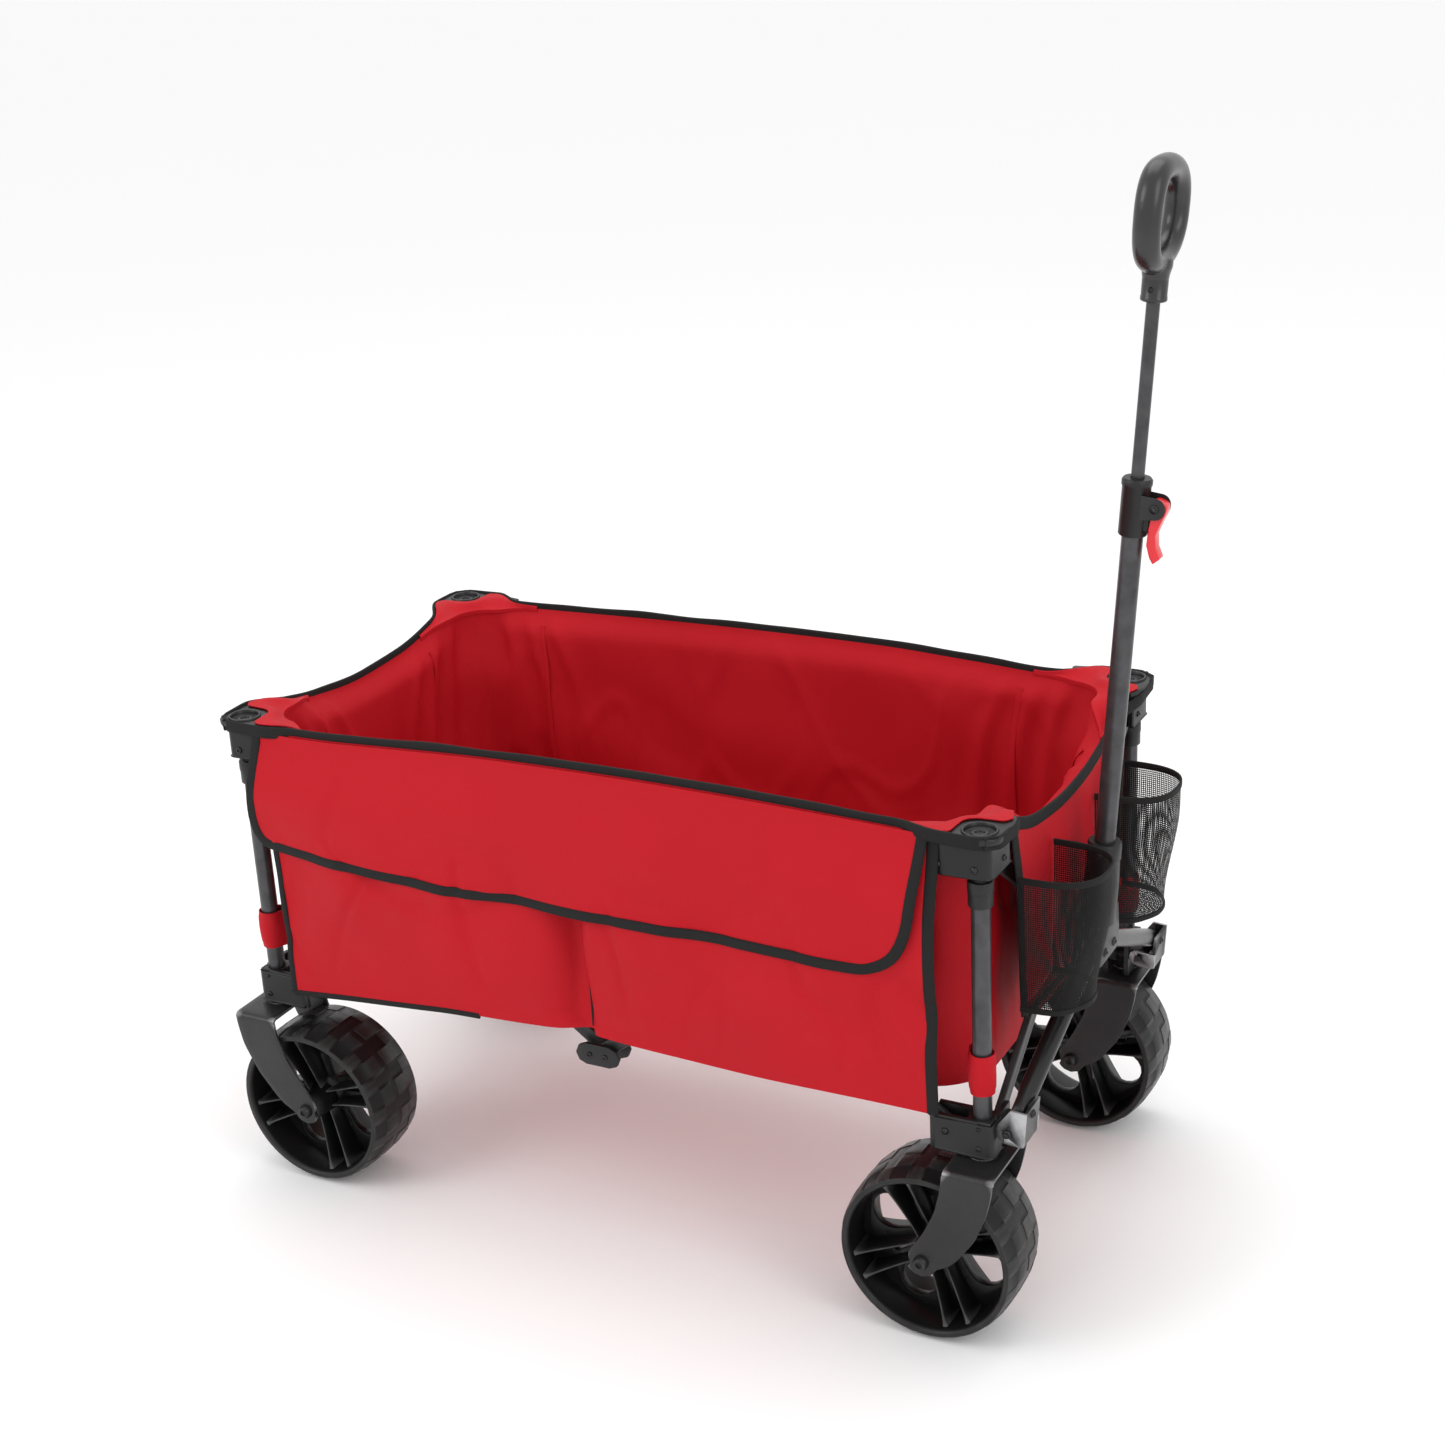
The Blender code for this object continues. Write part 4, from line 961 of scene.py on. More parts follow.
def ripple(p, scale, seed):
    """Slow unevenness of cloth at a point, from -1 to 1."""
    return noise.noise(Vector((p.x * scale + seed, p.y * scale - seed, p.z * scale * 0.6)))


def crease(p, scale, seed):
    """Narrow soft folds: high along wandering lines and nothing between them."""
    return 1 - smooth_step(0.0, 0.10, abs(ripple(p, scale, seed)))


floor_level, cap_level = 0.2560, 0.5445
wall_in_x, wall_in_y = 0.4120, 0.2050
long_sides = ("near", "far")
# The directions along each side and out of it.
side_axes = {
    "near": ((1, 0), (0, -1)),
    "far": ((1, 0), (0, 1)),
    "rear": ((0, 1), (-1, 0)),
    "front": ((0, 1), (1, 0)),
}
swing_of = {"near": 0.0260, "far": 0.0105, "rear": 0.0160, "front": 0.0240}
rim_free = {"near": 0.0135, "far": -0.0020, "rear": 0.0010, "front": 0.0090}


def from_side(side, along, out):
    """The x and y of a place or a direction that is given along a side and out of it."""
    (along_x, along_y), (out_x, out_y) = side_axes[side]
    return along * along_x + out * out_x, along * along_y + out * out_y


def freed(side, along):
    """How far the top edge has come free of the caps at a place along one side: 0 to 1."""
    if side in long_sides:
        free = wall_in_x - 0.040
    else:
        free = wall_in_y - 0.062
    return 1 - smooth_step(free - 0.035, free + 0.010, abs(along))


def liner_point(side, t, w):
    """A point of the liner: t from corner seam to corner seam along one wall, w from rim to floor."""
    long_wall = side in long_sides
    half_long, half_short = (wall_in_x, wall_in_y) if long_wall else (wall_in_y, wall_in_x)
    radius = 0.040 + 0.046 * smooth_step(0.0, 0.30, w) - 0.020 * smooth_step(0.7, 1.0, w)
    straight = 2 * (half_long - radius)
    arc = radius * math.pi / 4
    d = t * (straight + 2 * arc)
    if d < arc:
        angle = math.pi / 4 * (1 - d / arc)
        along = -half_long + radius - radius * math.sin(angle)
        out = half_short - radius + radius * math.cos(angle)
        across = (-math.sin(angle), math.cos(angle))
    elif d > straight + arc:
        angle = math.pi / 4 * (d - straight - arc) / arc
        along = half_long - radius + radius * math.sin(angle)
        out = half_short - radius + radius * math.cos(angle)
        across = (math.sin(angle), math.cos(angle))
    else:
        along, out = -half_long + radius + d - arc, half_short
        across = (0.0, 1.0)
    edge = edge_of[side]
    inside = freed(side, along)
    top = cap_level + (height_on(edge, along) - 0.0020 - cap_level) * inside
    z = top + (floor_level - top) * w
    swing = swing_of[side] * inside * (1 - smooth_step(0.0, 0.105, w)) ** 1.2
    out += swing
    x, y = from_side(side, along, out)
    out_x, out_y = from_side(side, *across)
    p = Vector((x, y, z))
    to_corner = (half_long - abs(along)) / 0.16
    middle_of_wall = math.sin(math.pi * min(1.0, max(0.0, w))) ** 0.8
    corner_pull = math.exp(-max(0.0, to_corner) ** 2)
    pleats = math.sin(abs(along) * 150 + 3.0 * w + (2.0 if side in ("far", "rear") else 0.0))
    slow = ripple(p, 6.0, 3.1) * 0.0095 + ripple(p, 17.0, 7.7) * 0.0034
    drag = math.sin(26 * (along * 0.8 + z * 1.6) + 3 * ripple(p, 5.0, 1.3)) * 0.0016
    fold = crease(p + Vector((0, 0, along * 0.7)), 6.5, 12.0)
    fold += crease(p - Vector((0, 0, along * 0.5)), 9.0, 21.0)
    from_seam = min(d, straight + 2 * arc - d)
    fan = sum(math.exp(-((from_seam - c * (1 + 0.7 * w)) / 0.0085) ** 2) for c in (0.042, 0.072, 0.106))
    fan *= smooth_step(0.0, 0.10, w) * (1 - w) ** 1.3
    slack = slow + drag - 0.0030 - 0.0026 * fold + 0.0026 * pleats * corner_pull
    move = -0.0048 * fan + middle_of_wall * slack
    move = min(0.0035, max(-0.0090, move)) * smooth_step(0.0, 0.035, from_seam)
    return at(p.x + out_x * move, p.y + out_y * move, p.z)


def rim_offset(side, a):
    """How far outside the posts' line the rim runs at a place along one side."""
    long_wall = side in long_sides
    along_post = post_x if long_wall else post_y
    beyond = abs(a) - (along_post - 0.050 if long_wall else along_post - 0.045)
    near_cap = smooth_step(-0.030, 0.015, beyond)
    return rim_free[side] * (1 - near_cap) + (0.0215 if long_wall else 0.0235) * near_cap


def cloth_piece(name, rows, body, nodes=(), thick=0.0011):
    """A sheet of the red cloth from rows of points, given its real thickness."""
    sheet = worked(from_rows(rows), ("SOLIDIFY", {"thickness": thick, "offset": 0.0}))
    return piece(name, sheet, red_cloth, body, nodes, 60.0)


def crumples(obj, way):
    """Only gives the piece its own copy of its mesh: the cloth does not gather, and both ways do the same."""
    if way == "along":
        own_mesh(obj)
    else:
        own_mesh(obj)


liner_body = {"near": "cap_rear_right", "far": "cap_rear_left",
              "rear": "cap_rear_right", "front": "cap_front_right"}
liner_node = {"near": "fabric_side_right", "far": "fabric_side_left",
              "rear": "fabric_rear", "front": "fabric_front"}
folds_way = {"near": "along", "far": "along", "rear": "across", "front": "across"}
walls = {}
for side in ("near", "far", "rear", "front"):
    long_wall = side in long_sides
    columns = 150 if long_wall else 84
    levels = [0.0, 0.012, 0.025, 0.040, 0.060, 0.080, 0.100, 0.125]
    levels += [0.15 + 0.85 * i / 30 for i in range(31)]
    rows = [[liner_point(side, i / columns, w) for i in range(columns + 1)] for w in levels]
    walls[side] = cloth_piece("basket_wall_" + side, rows, liner_body[side], [liner_node[side]])
    crumples(walls[side], folds_way[side])

# ---------------------------------------------------------------------------
# Corner gussets: a web of the same cloth laid over each cap's arms, cut round
# the dish, that turns down inside to meet the walls.
# ---------------------------------------------------------------------------
gusset_reach, plate_level = 0.1080, 0.5528
outer_cut = ((-0.1080, 0.0100), (-0.0850, 0.0150), (-0.0600, 0.0185), (-0.0340, 0.0190), (-0.0245, 0.0150),
             (-0.0235, 0.0000), (-0.0225, -0.0120), (-0.0180, -0.0190), (-0.0100, -0.0225), (0.0000, -0.0235),
             (0.0150, -0.0245), (0.0205, -0.0340), (0.0205, -0.0600), (0.0160, -0.0850), (0.0090, -0.1080))


def wall_line(long_side, short_side):
    """The top of the walls round one corner, measured inwards from the post."""
    deep_x, deep_y = wall_in_x - post_x, wall_in_y - post_y
    bend, round_by = 0.0400, 0.0385
    line = []
    for i in range(7):
        u = -gusset_reach + i / 6 * (gusset_reach + deep_x - bend)
        line.append((u, deep_y - 0.0015 + swing_of[long_side] * freed(long_side, post_x + u)))
    for i in range(1, 10):
        angle = math.radians(90 - 9 * i)
        line.append((deep_x - bend + round_by * math.cos(angle), deep_y - bend + round_by * math.sin(angle)))
    for i in range(7):
        v = deep_y - bend + i / 6 * (-gusset_reach - deep_y + bend)
        line.append((deep_x - 0.0015 + swing_of[short_side] * freed(short_side, post_y + v), v))
    return line


def spaced(points, count):
    """Evenly spaced places along a line through the points of a plane."""
    lengths = [0.0]
    for a, b in zip(points, points[1:]):
        lengths.append(lengths[-1] + math.dist(a, b))
    wanted = np.linspace(0, lengths[-1], count)
    return list(zip(np.interp(wanted, lengths, [p[0] for p in points]),
                    np.interp(wanted, lengths, [p[1] for p in points])))


for corner, sx, sy in CORNERS:
    long_side = "near" if sy < 0 else "far"
    short_side = "front" if sx > 0 else "rear"
    outer, inner = spaced(outer_cut, 61), spaced(wall_line(long_side, short_side), 61)
    rows = []
    for k in range(12):
        share = min(1.0, k / 9)
        row = []
        for (u0, v0), (u1, v1) in zip(outer, inner):
            v0 = min(v0, rim_offset(long_side, post_x + u0) - 0.0030)
            u0 = min(u0, rim_offset(short_side, post_y + v0) - 0.0030)
            v1 = min(v1, v0 - 0.0010) if u1 < v1 else v1
            u1 = min(u1, u0 - 0.0010) if u1 > v1 else u1
            u, v = u0 + (u1 - u0) * share, v0 + (v1 - v0) * share
            if u < v:
                side, place, away = long_side, sx * (post_x + u), smooth_step(0.058, 0.100, -u)
            else:
                side, place, away = short_side, sy * (post_y + v), smooth_step(0.046, 0.085, -v)
            rim_z = height_on(edge_of[side], place)
            flat_z = plate_level + (rim_z + 0.0010 - plate_level) * away
            hem_z = cap_level + (rim_z - 0.0020 - cap_level) * freed(side, abs(place)) + 0.0006
            z = flat_z + (hem_z - flat_z) * smooth_step(0.35, 1.0, share)
            z += ripple(Vector((sx * u, sy * v, 0)), 30.0, 3.0) * 0.0012 * math.sin(math.pi * share)
            z -= 0.0022 * max(0, k - 9)
            row.append(Vector((centre_x + sx * (post_x + u), sy * (post_y + v), z)))
        rows.append(row)
    gusset = cloth_piece("corner_gusset_" + corner, rows, "cap_" + corner)
    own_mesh(gusset)

# ---------------------------------------------------------------------------
# Basket floor: two padded panels of the red cloth that meet in the middle. They
# lie on the scissor bars, with their edges turned up against the walls.
# ---------------------------------------------------------------------------
panel_long, panel_half, panel_level = 0.4060, 0.1990, 0.2530
for part, sx in (("front", 1), ("rear", -1)):
    rows = []
    for i in range(41):
        t = i / 40
        x = sx * (0.0008 + t * panel_long)
        row = []
        for j in range(61):
            s = j / 60 * 2 - 1
            corner_cut = 0.030 * smooth_step(0.88, 1.0, t)
            y = s * (panel_half - corner_cut)
            rise = 0.0035 * smooth_step(0.90, 1.0, abs(s)) + 0.0035 * smooth_step(0.94, 1.0, t)
            z = panel_level + rise + ripple(Vector((x, y, 0)), 8.0, 4.4) * 0.0012
            row.append(at(x, y, z))
        rows.append(row)
    base = cloth_piece("basket_floor_" + part, rows, "floor_" + part, ["floor_" + part], thick=0.0024)
    crumples(base, "across")

# ---------------------------------------------------------------------------
# Rim binding: black woven tape folded over the raw top edges of the basket and
# sewn through. At each corner it runs round the outside of the cap.
# ---------------------------------------------------------------------------


def tape_along(path, outwards, wide, thick, hang=0.5, sides=14):
    """A folded tape along a path: a soft flat section, standing upright."""
    rows = []
    for i, point in enumerate(path):
        before, after = path[max(0, i - 1)], path[min(len(path) - 1, i + 1)]
        run = (after - before).normalized()
        out = Vector(outwards)
        out = (out - run * out.dot(run)).normalized()
        up = run.cross(out).normalized()
        if up.z < 0:
            up = -up
        row = []
        for j in range(sides):
            turn = 2 * math.pi * j / sides
            c, s = math.cos(turn), math.sin(turn)
            row.append(point + out * (thick / 2 * math.copysign(abs(c) ** 0.6, c))
                       + up * (wide * (0.5 * math.copysign(abs(s) ** 0.45, s) + 0.5 - hang)))
        rows.append(row)
    return from_rows(rows, closed_across=True, capped=True)


def rim_path(side):
    """The rim's own line between the outer corners of two caps."""
    long_wall = side in long_sides
    edge = edge_of[side]
    reach = 0.4520 if long_wall else 0.2400
    along_post = post_x if long_wall else post_y
    out_post = post_y if long_wall else post_x
    count = 120 if long_wall else 80
    path = []
    for i in range(count + 1):
        a = -reach + 2 * reach * i / count
        out = out_post + rim_offset(side, a)
        corner = smooth_step(along_post - 0.002, reach, abs(a))
        out -= 0.0115 * corner ** 2.2
        z = height_on(edge, a) + ripple(Vector((a, 0, 0)), 14.0, 2.0) * 0.0015 * (1 - corner)
        x, y = from_side(side, a, out)
        path.append(at(x, y, z))
    return path


rims = {}
for side in ("near", "far", "rear", "front"):
    tape = tape_along(rim_path(side), (*side_axes[side][1], 0), 0.0135, 0.0044, 0.62)
    rims[side] = piece("rim_binding_" + side, tape, black_tape, liner_body[side], smooth=60.0)
    crumples(rims[side], folds_way[side])

# ---------------------------------------------------------------------------
# Side pocket: an outer skin of the same red cloth sewn under the near rim. It
# makes two wide compartments with a seam between them, under one long flap.
# ---------------------------------------------------------------------------
pocket_left, pocket_right, pocket_seam = -0.3840, 0.3890, -0.0030


def pocket_bottom(x):
    """The height of the pocket's hem."""
    hem_line = [(-0.39, 0.2340), (-0.30, 0.2440), (-0.17, 0.2565), (0.0, 0.2600), (0.20, 0.2560),
                (0.39, 0.2540)]
    return height_on(hem_line, x, 0.02)


def pocket_point(u, v):
    """A point of the pocket skin: u from its rear edge to its front edge, v from rim to hem."""
    x = pocket_left + (pocket_right - pocket_left) * u
    top = height_on(edge_of["near"], x) - 0.0030
    low = pocket_bottom(x)
    z = top + (low - top) * v
    seam = math.exp(-((x - pocket_seam) / (0.024 if x < pocket_seam else 0.007)) ** 2)
    rear_end = 1 - smooth_step(0.0, 0.10, x - pocket_left)
    front_end = 1 - smooth_step(0.0, 0.12, pocket_right - x)
    belly = math.sin(math.pi * min(1.0, max(0.0, (v - 0.05) / 0.95)) ** 1.1)
    out = 0.2360 + 0.0120 * smooth_step(0.0, 0.35, v) + 0.0125 * belly
    out -= 0.0090 * belly * rear_end + 0.0070 * belly * front_end
    below_flap = smooth_step(0.40, 0.54, v)
    dip = 0.0275 * seam + 0.0060 * math.exp(-((x - pocket_seam) / 0.050) ** 2)
    out -= dip * below_flap * (1 - 0.5 * smooth_step(0.93, 1.0, v))
    p = Vector((x, 0, z))
    lobe = 0.0035 * math.sin(math.pi * smooth_step(0.0, 0.38, abs(x - pocket_seam)))
    out += lobe * below_flap
    out += ripple(p, 8.0, 6.0) * 0.0080 * belly + ripple(p, 22.0, 2.0) * 0.0028 * belly
    fan = math.sin(80 * (x - pocket_seam) * (1.4 - v)) * 0.0012 * below_flap
    fan *= math.exp(-abs(x - pocket_seam) / 0.10)
    drag = math.sin(34 * (x * 0.7 - z * 1.9) + 2.5 * ripple(p, 4.0, 8.0)) * 0.0010 * belly
    fold = crease(p + Vector((0, 0, x * 0.6)), 6.0, 31.0) + crease(p - Vector((0, 0, x * 0.8)), 8.0, 17.0)
    out += fan + drag - 0.0030 * fold * belly
    out = max(min(out, 0.2655), 0.2312)
    return at(x, -out, z)


rows = [[pocket_point(i / 170, j / 70) for i in range(171)] for j in range(71)]
pocket = cloth_piece("side_pocket", rows, "cap_rear_right")
crumples(pocket, "along")

# ---------------------------------------------------------------------------
# Pocket flap: one long piece of the red cloth sewn in under the near rim, with
# rounded lower corners. It hangs over both compartments and isn't fastened.
# ---------------------------------------------------------------------------
flap_left, flap_right = -0.4000, 0.3640


def flap_bottom(x):
    """The height of the flap's hem."""
    hem_line = [(-0.41, 0.4180), (-0.30, 0.4140), (-0.15, 0.4080), (0.0, 0.4090), (0.15, 0.4085),
                (0.30, 0.4060), (0.39, 0.4060)]
    return height_on(hem_line, x, 0.03)


def flap_point(u, v):
    """A point of the flap: u from the rear edge to the front edge, v from rim to hem."""
    x = flap_left + (flap_right - flap_left) * u
    top = height_on(edge_of["near"], x) - 0.0040
    low = flap_bottom(x)
    for radius, inset in ((0.024, x - flap_left), (0.046, flap_right - x)):
        if inset < radius:
            low += radius - math.sqrt(max(radius ** 2 - (radius - inset) ** 2, 0.0))
    z = top + (low - top) * v
    height = (top - z) / (top - flap_bottom(x))
    x += 0.0160 * smooth_step(0.10, 0.38, x) * (1 - height) - 0.0110 * smooth_step(0.10, 0.38, -x) * height
    out = 0.2385 + 0.0125 * smooth_step(0.0, 0.60, height)
    out += 0.0100 * math.sin(math.pi * min(1.0, height) * 0.62)
    p = Vector((x, 0.3, z))
    out += ripple(p, 7.0, 1.0) * 0.0064 * height + ripple(p, 19.0, 5.0) * 0.0024 * height
    out += math.sin(30 * (x * 0.9 + z * 1.2) + 3 * ripple(p, 3.0, 2.0)) * 0.0014 * height
    out -= 0.0024 * crease(p + Vector((0, 0, x * 0.4)), 6.5, 5.0) * height
    out += 0.0024 * math.sin(x * 21 + 0.6) * smooth_step(0.55, 1.0, height)
    rear_end = 1 - smooth_step(0.0, 0.08, x - flap_left)
    out -= 0.0060 * rear_end * height
    out = min(max(out, -pocket_depth(x, z) + 0.0022), 0.2700)
    return at(x, -out, z)


def pocket_depth(x, z):
    """How far out the pocket skin lies under a place on the flap."""
    u = (x - pocket_left) / (pocket_right - pocket_left)
    if not 0 <= u <= 1:
        return -0.2380
    top = height_on(edge_of["near"], x) - 0.0030
    v = (top - z) / (top - pocket_bottom(x))
    return pocket_point(u, min(1.0, max(0.0, v))).y


rows = [[flap_point(i / 170, j / 36) for i in range(171)] for j in range(37)]
flap = cloth_piece("pocket_flap", rows, "cap_rear_right")
crumples(flap, "along")


def flap_edge():
    """The flap's free edge: down the rear side, along the hem, up the front side."""
    path = [flap_point(0.0, v / 14) for v in range(0, 14)]
    path += [flap_point(i / 170, 1.0) for i in range(0, 171)]
    path += [flap_point(1.0, 1 - v / 14) for v in range(1, 15)]
    out = [path[0]]
    for p in path[1:]:
        if (p - out[-1]).length > 0.0035:
            out.append(p)
    return out


def settled(path, passes=2):
    """The same path with its small kinks eased out."""
    for _ in range(passes):
        between = [(path[i - 1] + path[i] * 2 + path[i + 1]) / 4 for i in range(1, len(path) - 1)]
        path = [path[0]] + between + [path[-1]]
    return path


def flat_tape(path, outwards, wide, thick, sides=12):
    """Tape lying flat against cloth that faces outwards."""
    out_dir = Vector(outwards)
    rows = []
    for i, point in enumerate(path):
        run = (path[min(len(path) - 1, i + 1)] - path[max(0, i - 1)]).normalized()
        across = run.cross(out_dir).normalized()
        out = across.cross(run).normalized()
        row = []
        for j in range(sides):
            turn = 2 * math.pi * j / sides
            c, s = math.cos(turn), math.sin(turn)
            row.append(point + across * (wide / 2 * math.copysign(abs(c) ** 0.5, c))
                       + out * (thick / 2 * math.copysign(abs(s) ** 0.7, s)))
        rows.append(row)
    return from_rows(rows, closed_across=True, capped=True)


def binding(name, path, outwards, body, way, wide=0.0115, thick=0.0036, look=black_tape):
    """A tape sewn flat along an edge or a seam."""
    tape = piece(name, flat_tape(settled(path), outwards, wide, thick), look, body, smooth=60.0)
    crumples(tape, way)
    return tape


# ---------------------------------------------------------------------------
# Liner seams: narrow red tapes over the joins inside the basket, two on each
# wall, where the corner pieces are sewn to the straight ones.
# ---------------------------------------------------------------------------
for side in ("near", "far", "rear", "front"):
    facing = -Vector((*side_axes[side][1], 0))
    for k, t in enumerate((0.115, 0.885) if side in long_sides else (0.21, 0.79)):
        path = [liner_point(side, t, 0.06 + 0.92 * i / 40) + facing * 0.0012 for i in range(41)]
        binding("liner_seam_%s_%d" % (side, k), path, facing, liner_body[side], folds_way[side],
                0.0070, 0.0015, red_cloth)

# ---------------------------------------------------------------------------
# Pocket bindings: black tape sewn round the flap's free edge, down both ends of
# the pocket and along its rear hem, with a narrow one on the seam between the
# two compartments that marks the stitching and paints the seam's deep shade.
# ---------------------------------------------------------------------------
flap_tape = binding("flap_binding", flap_edge(), (0, -1, 0), "cap_rear_right", "along")
front_edge = [pocket_point(1.0, v / 50) + Vector((0, 0.0005, 0)) for v in range(0, 51)]
pocket_tape = binding("pocket_front_binding", front_edge, (0, -1, 0), "cap_rear_right", "along", 0.0125)
hem = [pocket_point(i / 170, 1.0) for i in range(0, 56)]
hem_tape = binding("pocket_hem_binding", hem, (0, -1, 0), "cap_rear_right", "along", 0.0070)
seam_u = (pocket_seam - pocket_left) / (pocket_right - pocket_left)
seam_line = [pocket_point(seam_u, 0.47 + 0.52 * i / 40) for i in range(41)]
# A thin dark strip at the bottom of the seam's V: the stitching, and painted shade of the deep recess.
binding("pocket_seam", seam_line, (0, -1, 0), "cap_rear_right", "along", 0.0030, 0.0020)
rear_edge = [pocket_point(0.0, v / 50) for v in range(10, 51)]
rear_tape = binding("pocket_rear_binding", rear_edge, (0, -1, 0), "cap_rear_right", "along", 0.0075)

# ---------------------------------------------------------------------------
# Front skin: a red panel over the front bars, bound in black at both sides,
# that carries the two mesh cup holders.
# ---------------------------------------------------------------------------
skin_half, skin_low = 0.1500, 0.3120


def skin_point(u, v):
    """A point of the front skin: u from its right edge to its left, v from rim to hem."""
    y = (2 * u - 1) * (skin_half + 0.008 - 0.018 * v)
    top = height_on(edge_of["front"], y) - 0.0030
    low = skin_low + 0.010 * (2 * u - 1) ** 2
    z = top + (low - top) * v
    p = Vector((0.4, y, z))
    x = 0.4400 + 0.0035 * smooth_step(0.0, 0.3, v) + ripple(p, 12.0, 9.0) * 0.0022 * math.sin(math.pi * v)
    return at(min(x, 0.4447), y, z)


rows = [[skin_point(i / 60, j / 44) for i in range(61)] for j in range(45)]
front_skin = cloth_piece("front_skin", rows, "cap_front_right")
crumples(front_skin, "across")
for side, u in (("right", 0.0), ("left", 1.0)):
    path = [skin_point(u, v / 40) for v in range(0, 41)]
    binding("skin_binding_" + side, path, (1, 0, 0), "cap_front_right", "across", 0.0150, 0.0032)
path = [skin_point(i / 40, 1.0) for i in range(0, 41)]
binding("skin_hem", path, (1, 0, 0), "cap_front_right", "across", 0.0090, 0.0030)

# ---------------------------------------------------------------------------
# Cup holders: half-round bags of black polyester mesh with taped rims, sewn to
# the front skin. The mesh is open, so what is behind it shows through.
# ---------------------------------------------------------------------------
net, net_in, net_out = group("open_net", [("Cell", 0.0023), ("Thread Share", 0.47)], ["Alpha", "Height"])
place = net.nodes.new("ShaderNodeUVMap")
place.uv_map = "around"
split = net.nodes.new("ShaderNodeSeparateXYZ")
net.links.new(place.outputs["UV"], split.inputs["Vector"])
threads = []
for axis in ("X", "Y"):
    cells = sum_of(net, "DIVIDE", split.outputs[axis], net_in.outputs["Cell"])
    saw = sum_of(net, "FRACT", cells, None)
    off = sum_of(net, "ABSOLUTE", sum_of(net, "SUBTRACT", saw, 0.5), None)
    half_thread = sum_of(net, "MULTIPLY", net_in.outputs["Thread Share"], 0.5)
    threads.append(sum_of(net, "LESS_THAN", off, half_thread))
net.links.new(sum_of(net, "MAXIMUM", threads[0], threads[1]), net_out.inputs["Alpha"])
net.links.new(sum_of(net, "ADD", threads[0], threads[1]), net_out.inputs["Height"])

net_look, nodes, links, shader = matter("black_net")
holes = nodes.new("ShaderNodeGroup")
holes.node_tree = net
skin = nodes.new("ShaderNodeGroup")
skin.node_tree = grain
tone = mix_colours(net_look.node_tree, skin.outputs["Patch"], (0.004, 0.004, 0.004), (0.012, 0.012, 0.012))
links.new(tone.outputs["Result"], shader.inputs["Base Color"])
links.new(holes.outputs["Alpha"], shader.inputs["Alpha"])
bumps = nodes.new("ShaderNodeBump")
bumps.inputs["Strength"].default_value = 0.4
bumps.inputs["Distance"].default_value = 0.0003
links.new(holes.outputs["Height"], bumps.inputs["Height"])
links.new(bumps.outputs["Normal"], shader.inputs["Normal"])
shader.inputs["Roughness"].default_value = 0.70
shader.inputs["Specular IOR Level"].default_value = 0.20


cup_low, cup_tall = 0.3360, 0.1400


def cup_ring(sy, z, share):
    """The bag's half-round outline at one height, with a flat seam at the skin."""
    near, far = 0.0610, 0.1600
    centre, half = (near + far) / 2, (far - near) / 2 * (0.93 + 0.07 * share)
    back, deep = 0.4452, 0.0735 * (0.78 + 0.22 * smooth_step(0.0, 0.8, share))
    out = []
    for i in range(57):
        angle = math.pi * i / 56
        c, s = math.cos(angle), math.sin(angle)
        wave = 1 + 0.035 * math.sin(5 * angle + 3 * share) * (1 - share)
        sideways = centre - half * math.copysign(abs(c) ** 0.80, c)
        out.append(at(back + deep * wave * abs(s) ** 0.62, sy * sideways, z))
    return out


def measured_uv(mesh, rows, steps_in=0):
    """A map in metres round the bag and up it, for the mesh's threads."""
    layer = mesh.uv_layers.new(name="around")
    width = len(rows[0])
    gone = [0.0]
    for a, b in zip(rows[-1], rows[-1][1:]):
        gone.append(gone[-1] + (b - a).length)
    for loop in mesh.loops:
        i, j = divmod(loop.vertex_index, width)
        layer.data[loop.index].uv = (gone[j], rows[i][j].z + 0.0060 * i * steps_in)


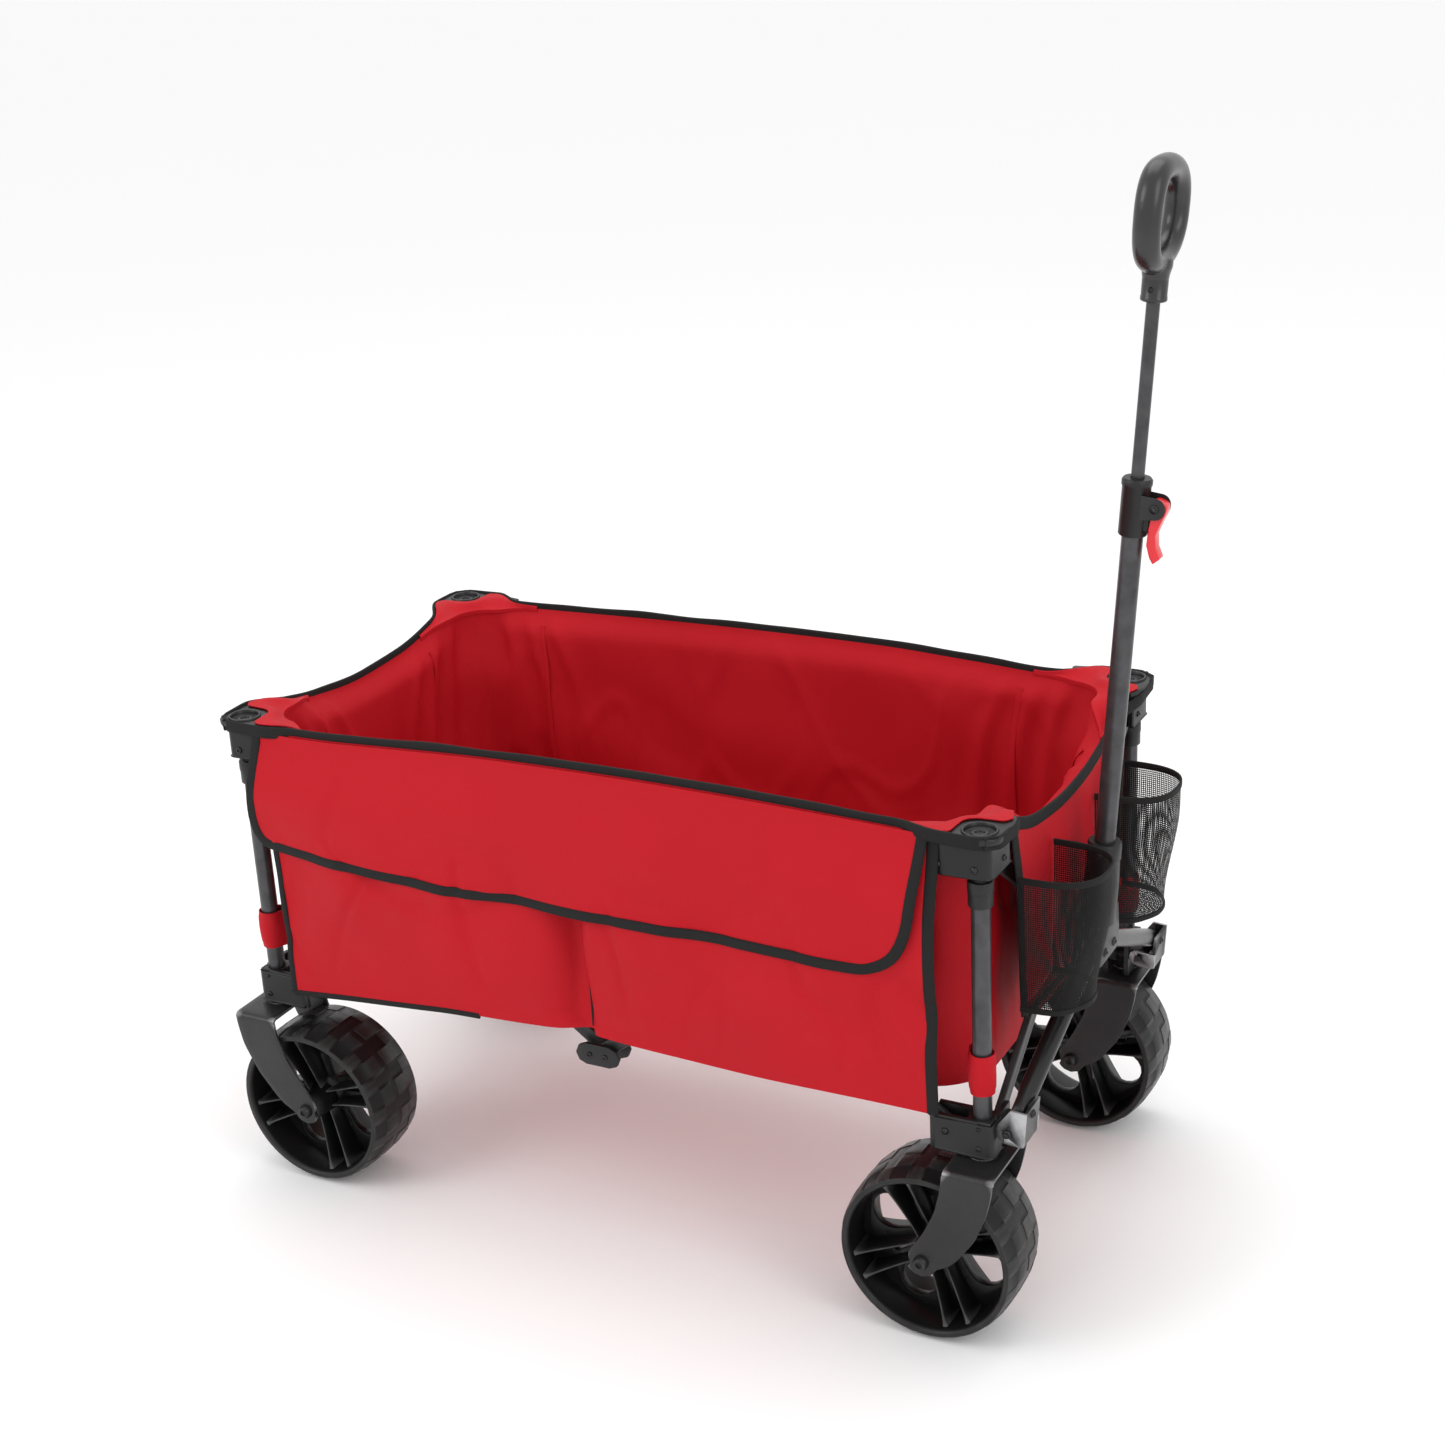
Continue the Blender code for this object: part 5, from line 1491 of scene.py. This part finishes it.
for side, sy in (("right", -1), ("left", 1)):
    rows = []
    for i in range(29):
        share = i / 28
        rows.append(cup_ring(sy, cup_low + cup_tall * share, share))
    bag_mesh = from_rows(rows)
    measured_uv(bag_mesh, rows)
    bag = piece("cup_bag_" + side, bag_mesh, net_look, "cap_front_right",
                ["cup_holder_" + side], 60.0)
    crumples(bag, "across")
    base_rows = []
    for k in range(9):
        share = k / 8
        sag = Vector((0, 0, -0.004 * (1 - share ** 2)))
        base_rows.append([at(0.4455, sy * 0.1105, cup_low - 0.0005).lerp(p, share) + sag for p in rows[0]])
    base_mesh = from_rows(base_rows)
    measured_uv(base_mesh, base_rows, 1)
    bottom = piece("cup_base_" + side, base_mesh, net_look, "cap_front_right", smooth=60.0)
    crumples(bottom, "across")
    edges = []
    for name, row, wide, thick in (("cup_rim_", rows[-1], 0.0075, 0.0026),
                                   ("cup_hem_", rows[0], 0.0060, 0.0024)):
        tape = tape_along(row, (1, 0, 0.001), wide, thick, 0.5)
        edges.append(piece(name + side, tape, black_tape, "cap_front_right", smooth=60.0))
        crumples(edges[-1], "across")

# ---------------------------------------------------------------------------
# Post loops: short bands of the red cloth sewn round each corner tube, which
# keep the foot of the basket in the frame.
# ---------------------------------------------------------------------------
for corner, sx, sy in CORNERS:
    cx, cy = post_place(sx, sy)
    inwards = Vector((-sx, -sy, 0)).normalized()
    rows = []
    for i in range(13):
        share = i / 12
        z = 0.2740 + 0.0430 * share
        r = 0.0118 + 0.0009 * math.sin(math.pi * share) + (0.0006 if 1 < i < 11 else 0.0)
        row = []
        for j in range(40):
            angle = 2 * math.pi * j / 40
            reach = r + 0.0003 * math.sin(3 * angle + 5 * share + sx)
            direction = Vector((math.cos(angle), math.sin(angle), 0))
            pull = max(0.0, direction.dot(inwards))
            reach += 0.0080 * pull ** 6
            row.append(Vector((cx, cy, z)) + direction * reach)
        rows.append(row)
    band = worked(from_rows(rows, closed_across=True), ("SOLIDIFY", {"thickness": 0.0011, "offset": 0.0}))
    loop_band = piece("post_loop_" + corner, band, red_cloth, post_body[corner], smooth=60.0)
